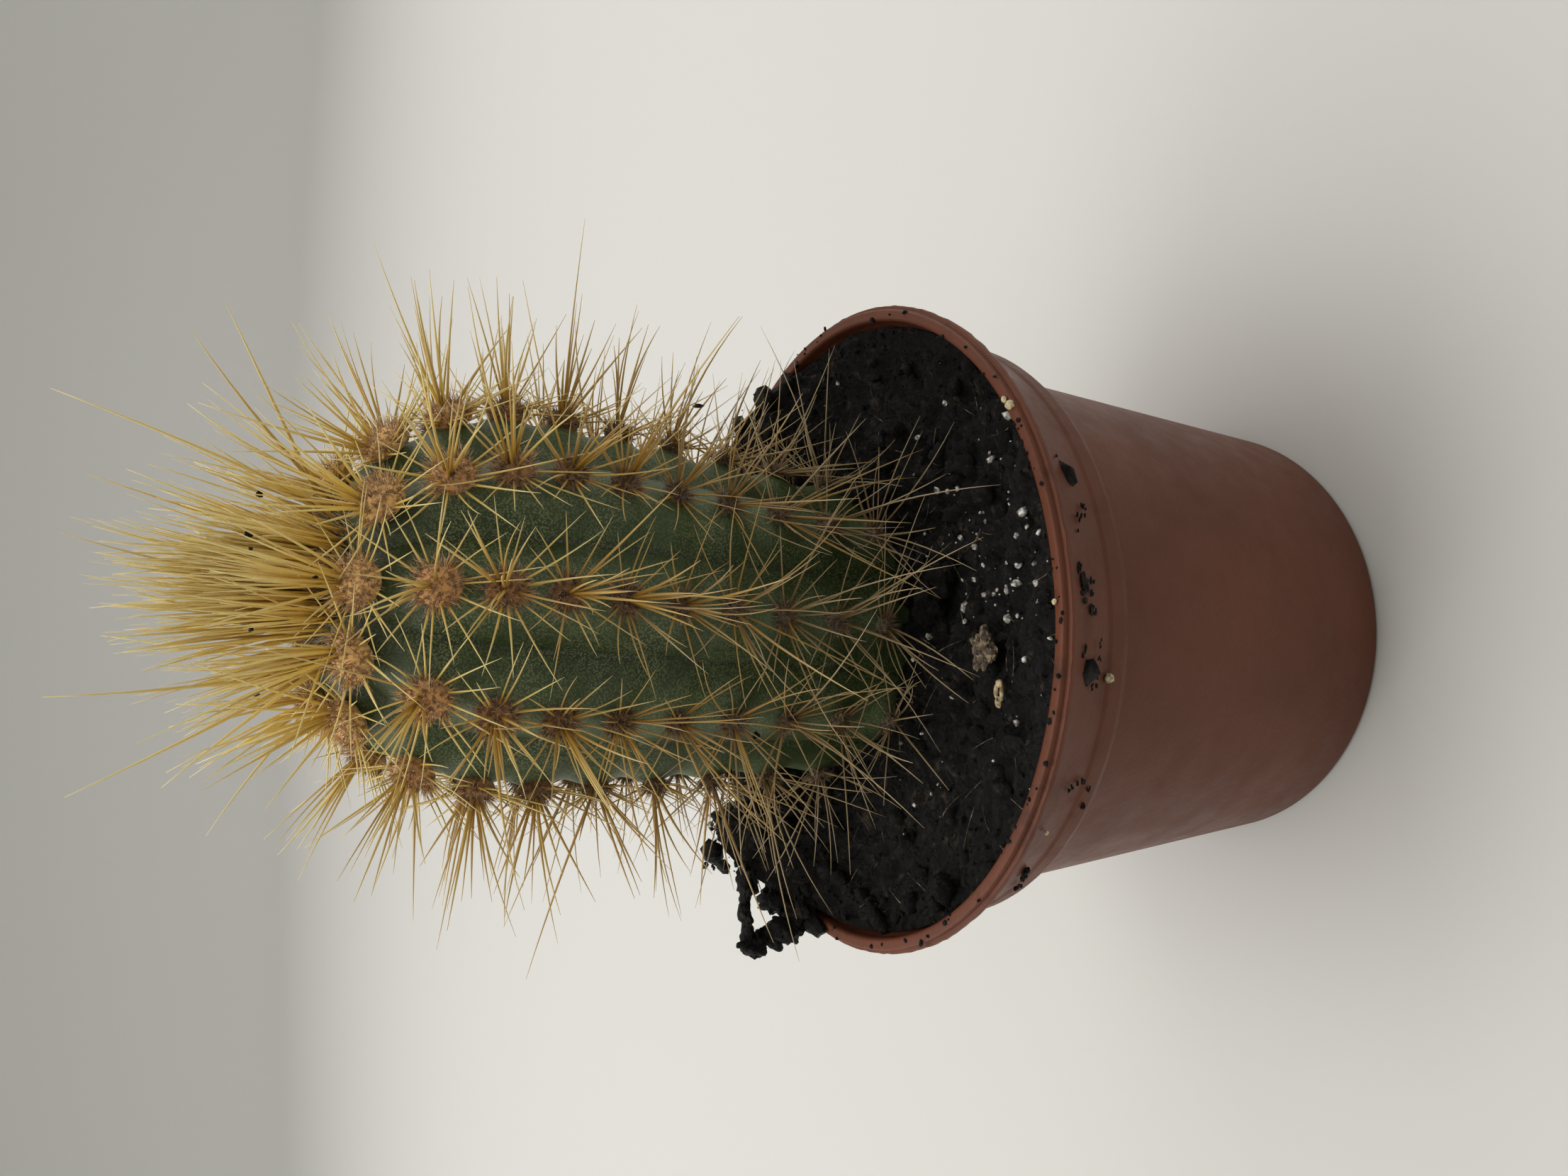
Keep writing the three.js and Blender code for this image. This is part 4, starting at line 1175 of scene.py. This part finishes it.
class CACTUS_OT_spines(bpy.types.Operator):
    """Grows the radial, central and crown spines, one piece for each rib and one for the crown"""
    bl_idname = "cactus.spines"
    bl_label = "Spines"

    def execute(self, context):
        stem = context.scene.cactus_stem
        spines = context.scene.cactus_spines
        draw = np.random.default_rng(spines.seed)
        material = dry_spine(spines.young, spines.middle, spines.old)
        throat, level = context.scene.cactus_pot.throat_radius, context.scene.cactus_soil.level
        beds = [SpineBed(throat, level) for _ in range(RIBS)]
        for areole in areoles(stem):
            self.radials(beds[areole[4]], draw, spines, areole)
            self.centrals(beds[areole[4]], draw, spines, areole)
        for rib, bed in enumerate(beds):
            piece = bed.grow(f"spines_rib{rib + 1:02d}", material)
            nodes = [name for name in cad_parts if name.startswith(f"spine_cluster_rib{rib + 1}_")]
            declare(piece, "spine", *nodes)
        self.crown(draw, stem, spines, material)
        return {"FINISHED"}

    def radials(self, bed, draw, spines, areole):
        """Thin spines spread like a star, close to the skin."""
        place, normal, up, age, rib, tier = areole
        count = round(spines.radials * (1.05 - 0.4 * age))
        for i in range(count):
            # none points straight up the rib; most spread sideways and down
            bearing = math.radians(28) + (i + draw.uniform(0.1, 0.9)) * math.radians(304) / count
            downward = 0.5 - 0.5 * math.cos(bearing)
            tilt = math.radians(draw.uniform(66, 84) if tier < 3 else draw.uniform(58, 82))
            aim = tilted(normal, up, tilt, bearing)
            reach = draw.uniform(8.5, 12.5) if tier < 3 else draw.uniform(6.5, 11)
            reach *= (0.85 + 0.25 * downward) * MM
            if tier > 5:
                reach *= draw.uniform(1, 1.9)
            thick = spines.root_radius * draw.uniform(0.6, 0.85) * (1 - 0.15 * age)
            sag = (normal * draw.uniform(-0.05, 0.14) + Vector(draw.normal(0, 0.05 + 0.07 * age, 3))) * reach
            tone = age * 0.95 - 0.05 + draw.normal(0, 0.07)
            bed.add(place + aim * 0.6 * MM, aim, reach, thick, sag, min(max(tone, 0), 1))

    def centrals(self, bed, draw, spines, areole):
        """Stout long spines that stand out from the areole; the top ones also rise towards the crown."""
        place, normal, up, age, rib, tier = areole
        count = round(spines.centrals * (1.2 if tier == 0 else 1.1 - 0.65 * age))
        for i in range(count):
            bearing = draw.uniform(0, math.tau)
            if tier > 5:
                bearing = draw.choice((-1, 1)) * math.radians(draw.normal(95, 38))
            spread = (9, 16) if 0 < tier < 4 else (16, 20) if tier < 6 else (34, 20)
            tilt = math.radians(min(abs(draw.normal(*spread)) + 3, 74))
            aim = tilted(normal, up, tilt, bearing)
            reach = draw.uniform(10.5, 18) * MM
            if tier == 0:
                aim = (aim + STEM_DIRECTION * draw.uniform(0.1, 0.9)).normalized()
                reach = draw.uniform(12, 20) * MM
            if i == 0:
                reach *= draw.uniform(1.15, 1.55)
            if tier > 6 and i < 3:
                reach = draw.uniform(16, 27) * MM
            thick = spines.root_radius * draw.uniform(0.65, 1.1) * (1 - 0.2 * age)
            droop = Vector((0, 0, -1)) * draw.uniform(0, 0.1)
            sag = (droop + Vector(draw.normal(0, 0.045 + 0.06 * age, 3))) * reach
            tone = 0.1 + age * 0.82 + draw.normal(0, 0.1)
            bed.add(place + aim * 0.4 * MM, aim, reach, thick, sag, min(max(tone, 0), 1))

    def crown(self, draw, stem, spines, material):
        """The brush of new spines on the growing point, tall in the middle, and the tufts round it."""
        bed = SpineBed()

        def sprout(root, aim, reach, thick):
            sag = Vector(draw.normal(0, 0.06, 3)) * reach
            bed.add(root, aim, reach, thick * spines.root_radius, sag,
                    min(max(0.06 + draw.normal(0, 0.12), 0), 1))

        for _ in range(spines.crown):
            outer = draw.random() < 0.3
            spot = draw.uniform(0, 1) ** 0.6
            bearing = draw.uniform(0, math.tau)
            radius = (10.5 if outer else 6.2) * MM * spot
            root = stem_point(dome_height_at(stem, radius) - 0.3 * MM, bearing, radius)
            tilt = abs(math.radians(22 if outer else 9) * spot + draw.normal(0, 0.08))
            aim = tilted(STEM_DIRECTION, STEM_SIDE, tilt, bearing - math.pi / 2)
            reach = (10 + 15 * draw.random() ** 1.3) * (1 - (0.4 if outer else 0.15) * spot) * MM
            sprout(root, aim, reach, draw.uniform(0.65, 1.3))
        tufts = 14
        for tuft in range(tufts):
            turn = (tuft + draw.uniform(-0.25, 0.25)) * math.tau / tufts
            radius = draw.uniform(7.5, 11) * MM
            height = dome_height_at(stem, radius)
            normal = crest_normal(stem, height, turn)
            root = stem_point(height - 0.2 * MM, turn, radius)
            for _ in range(12):
                aim = tilted(normal, STEM_DIRECTION, abs(draw.normal(0, 0.5)), draw.uniform(0, math.tau))
                aim = (aim + STEM_DIRECTION * 0.3).normalized()
                reach = (8 + 11 * draw.random() ** 1.8) * MM
                sprout(root + Vector(draw.normal(0, 0.7, 3)) * MM, aim, reach, draw.uniform(0.5, 1.05))
        # the longest spines of all: bearing from the front, tilt off the stem, length
        for bearing, tilt, reach in (
                (-75, 14, 29), (-95, 34, 27), (60, 26, 30), (15, 6, 27), (85, 42, 26), (-60, 48, 24),
                (150, 22, 26), (-150, 30, 25), (110, 58, 27)):
            turn = math.radians(bearing)
            radius = 10 * MM
            root = stem_point(dome_height_at(stem, radius) - 0.3 * MM, turn, radius)
            aim = tilted(STEM_DIRECTION, STEM_SIDE, math.radians(tilt), turn - math.pi / 2)
            sprout(root, aim, reach * MM, 1.3)
        piece = bed.grow("spines_crown", material)
        declare(piece, "spine", "crown_tuft")


class CACTUS_OT_stage(bpy.types.Operator):
    """Sets the paper floor, the soft lights and the camera"""
    bl_idname = "cactus.stage"
    bl_label = "Stage"

    def execute(self, context):
        stage = context.scene.cactus_stage
        self.floor(stage)
        self.lights()
        self.camera(stage)
        return {"FINISHED"}

    def floor(self, stage):
        flat, bend, top = 1.2, 0.3, 1.3
        outline = [(0, 0), (0.3, 0), (0.7, 0), (flat, 0)]
        outline += [(flat + bend * math.sin(a), bend - bend * math.cos(a))
                    for a in (i * math.pi / 2 / 12 for i in range(1, 13))]
        outline.append((flat + bend, top))
        sides = 96
        vertices = [(r * math.cos(i * math.tau / sides), r * math.sin(i * math.tau / sides), z)
                    for r, z in outline[1:] for i in range(sides)]
        faces = [tuple(range(sides))]
        for row in range(len(outline) - 2):
            for i in range(sides):
                after = (i + 1) % sides
                faces.append((row * sides + i, (row + 1) * sides + i,
                              (row + 1) * sides + after, row * sides + after))
        mesh = bpy.data.meshes.new("paper_sweep")
        mesh.from_pydata(vertices, [], faces)
        mesh.materials.append(seamless_paper(stage.floor))
        mesh.polygons.foreach_set("use_smooth", [True] * len(mesh.polygons))
        sweep = bpy.data.objects.new("paper_sweep", mesh)
        bpy.context.scene.collection.objects.link(sweep)

    def lights(self):
        world = bpy.data.worlds.new("soft_studio")
        bpy.context.scene.world = world
        world.use_nodes = True
        world.node_tree.nodes["Background"].inputs["Color"].default_value = hex_to_linear("f4f1ec")
        world.node_tree.nodes["Background"].inputs["Strength"].default_value = 0.64
        for name, place, size, power in (
                ("key_softbox", (-0.15, 0.25, 1.0), 0.9, 7.0),
                ("left_rim", (-0.8, 0.25, 0.5), 0.5, 2.0),
                ("right_rim", (0.8, 0.3, 0.45), 0.5, 2.0)):
            lamp = bpy.data.lights.new(name, "AREA")
            lamp.size = size
            lamp.energy = power
            lamp.color = (1.0, 0.98, 0.96)
            light = bpy.data.objects.new(name, lamp)
            light.location = place
            light.rotation_euler = (Vector((0, 0, 0.08)) - Vector(place)).to_track_quat("-Z", "Y").to_euler()
            bpy.context.scene.collection.objects.link(light)

    def camera(self, stage):
        forward = Vector((math.sin(stage.turn) * math.cos(stage.tilt),
                          math.cos(stage.turn) * math.cos(stage.tilt), -math.sin(stage.tilt)))
        level_right = Vector((math.cos(stage.turn), -math.sin(stage.turn), 0))
        level_down = forward.cross(level_right)
        right = level_right * math.cos(stage.roll) + level_down * math.sin(stage.roll)
        down = level_down * math.cos(stage.roll) - level_right * math.sin(stage.roll)
        data = bpy.data.cameras.new("camera")
        data.sensor_width = 36
        data.lens = stage.lens
        data.clip_start = 5 * MM
        camera = bpy.data.objects.new("camera", data)
        # the camera is held on its side, so the plant's top is at the picture's left
        turned = Matrix((down, right, -forward)).transposed().to_4x4()
        camera.matrix_world = Matrix.Translation((0, -stage.camera_distance, stage.camera_height)) @ turned
        bpy.context.scene.collection.objects.link(camera)
        bpy.context.scene.camera = camera
        bpy.context.scene.view_settings.view_transform = "Standard"


class CACTUS_PT_panel(bpy.types.Panel):
    """Lists the pieces of the potted cactus"""
    bl_idname = "CACTUS_PT_panel"
    bl_label = "Potted Cactus"
    bl_space_type = "VIEW_3D"
    bl_region_type = "UI"
    bl_category = "Potted Cactus"

    def draw(self, context):
        scene = context.scene
        for operator, settings in (
                (CACTUS_OT_pot, scene.cactus_pot), (CACTUS_OT_soil, scene.cactus_soil),
                (CACTUS_OT_stem, scene.cactus_stem), (CACTUS_OT_spines, scene.cactus_spines),
                (CACTUS_OT_stage, scene.cactus_stage)):
            box = self.layout.box()
            box.operator(operator.bl_idname)
            for key in settings.bl_rna.properties.keys():
                if key not in ("rna_type", "name"):
                    box.prop(settings, key)


SETTINGS = {
    "cactus_pot": PotSettings,
    "cactus_stem": StemSettings,
    "cactus_spines": SpineSettings,
    "cactus_soil": SoilSettings,
    "cactus_stage": StageSettings,
}
OPERATORS = [
    CACTUS_OT_pot, CACTUS_OT_soil, CACTUS_OT_loose_bits, CACTUS_OT_stem, CACTUS_OT_areoles,
    CACTUS_OT_spines, CACTUS_OT_stage,
]


def register():
    for cls in [*SETTINGS.values(), *OPERATORS, CACTUS_PT_panel]:
        bpy.utils.register_class(cls)
    for key, cls in SETTINGS.items():
        setattr(bpy.types.Scene, key, PointerProperty(type=cls))


def unregister():
    for key in SETTINGS:
        delattr(bpy.types.Scene, key)
    for cls in reversed([*SETTINGS.values(), *OPERATORS, CACTUS_PT_panel]):
        bpy.utils.unregister_class(cls)


def main():
    register()
    bpy.ops.cactus.pot()
    bpy.ops.cactus.soil()
    bpy.ops.cactus.loose_bits()
    bpy.ops.cactus.stem()
    bpy.ops.cactus.areoles()
    bpy.ops.cactus.spines()
    bpy.ops.cactus.stage()
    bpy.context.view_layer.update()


if __name__ == "__main__":
    main()
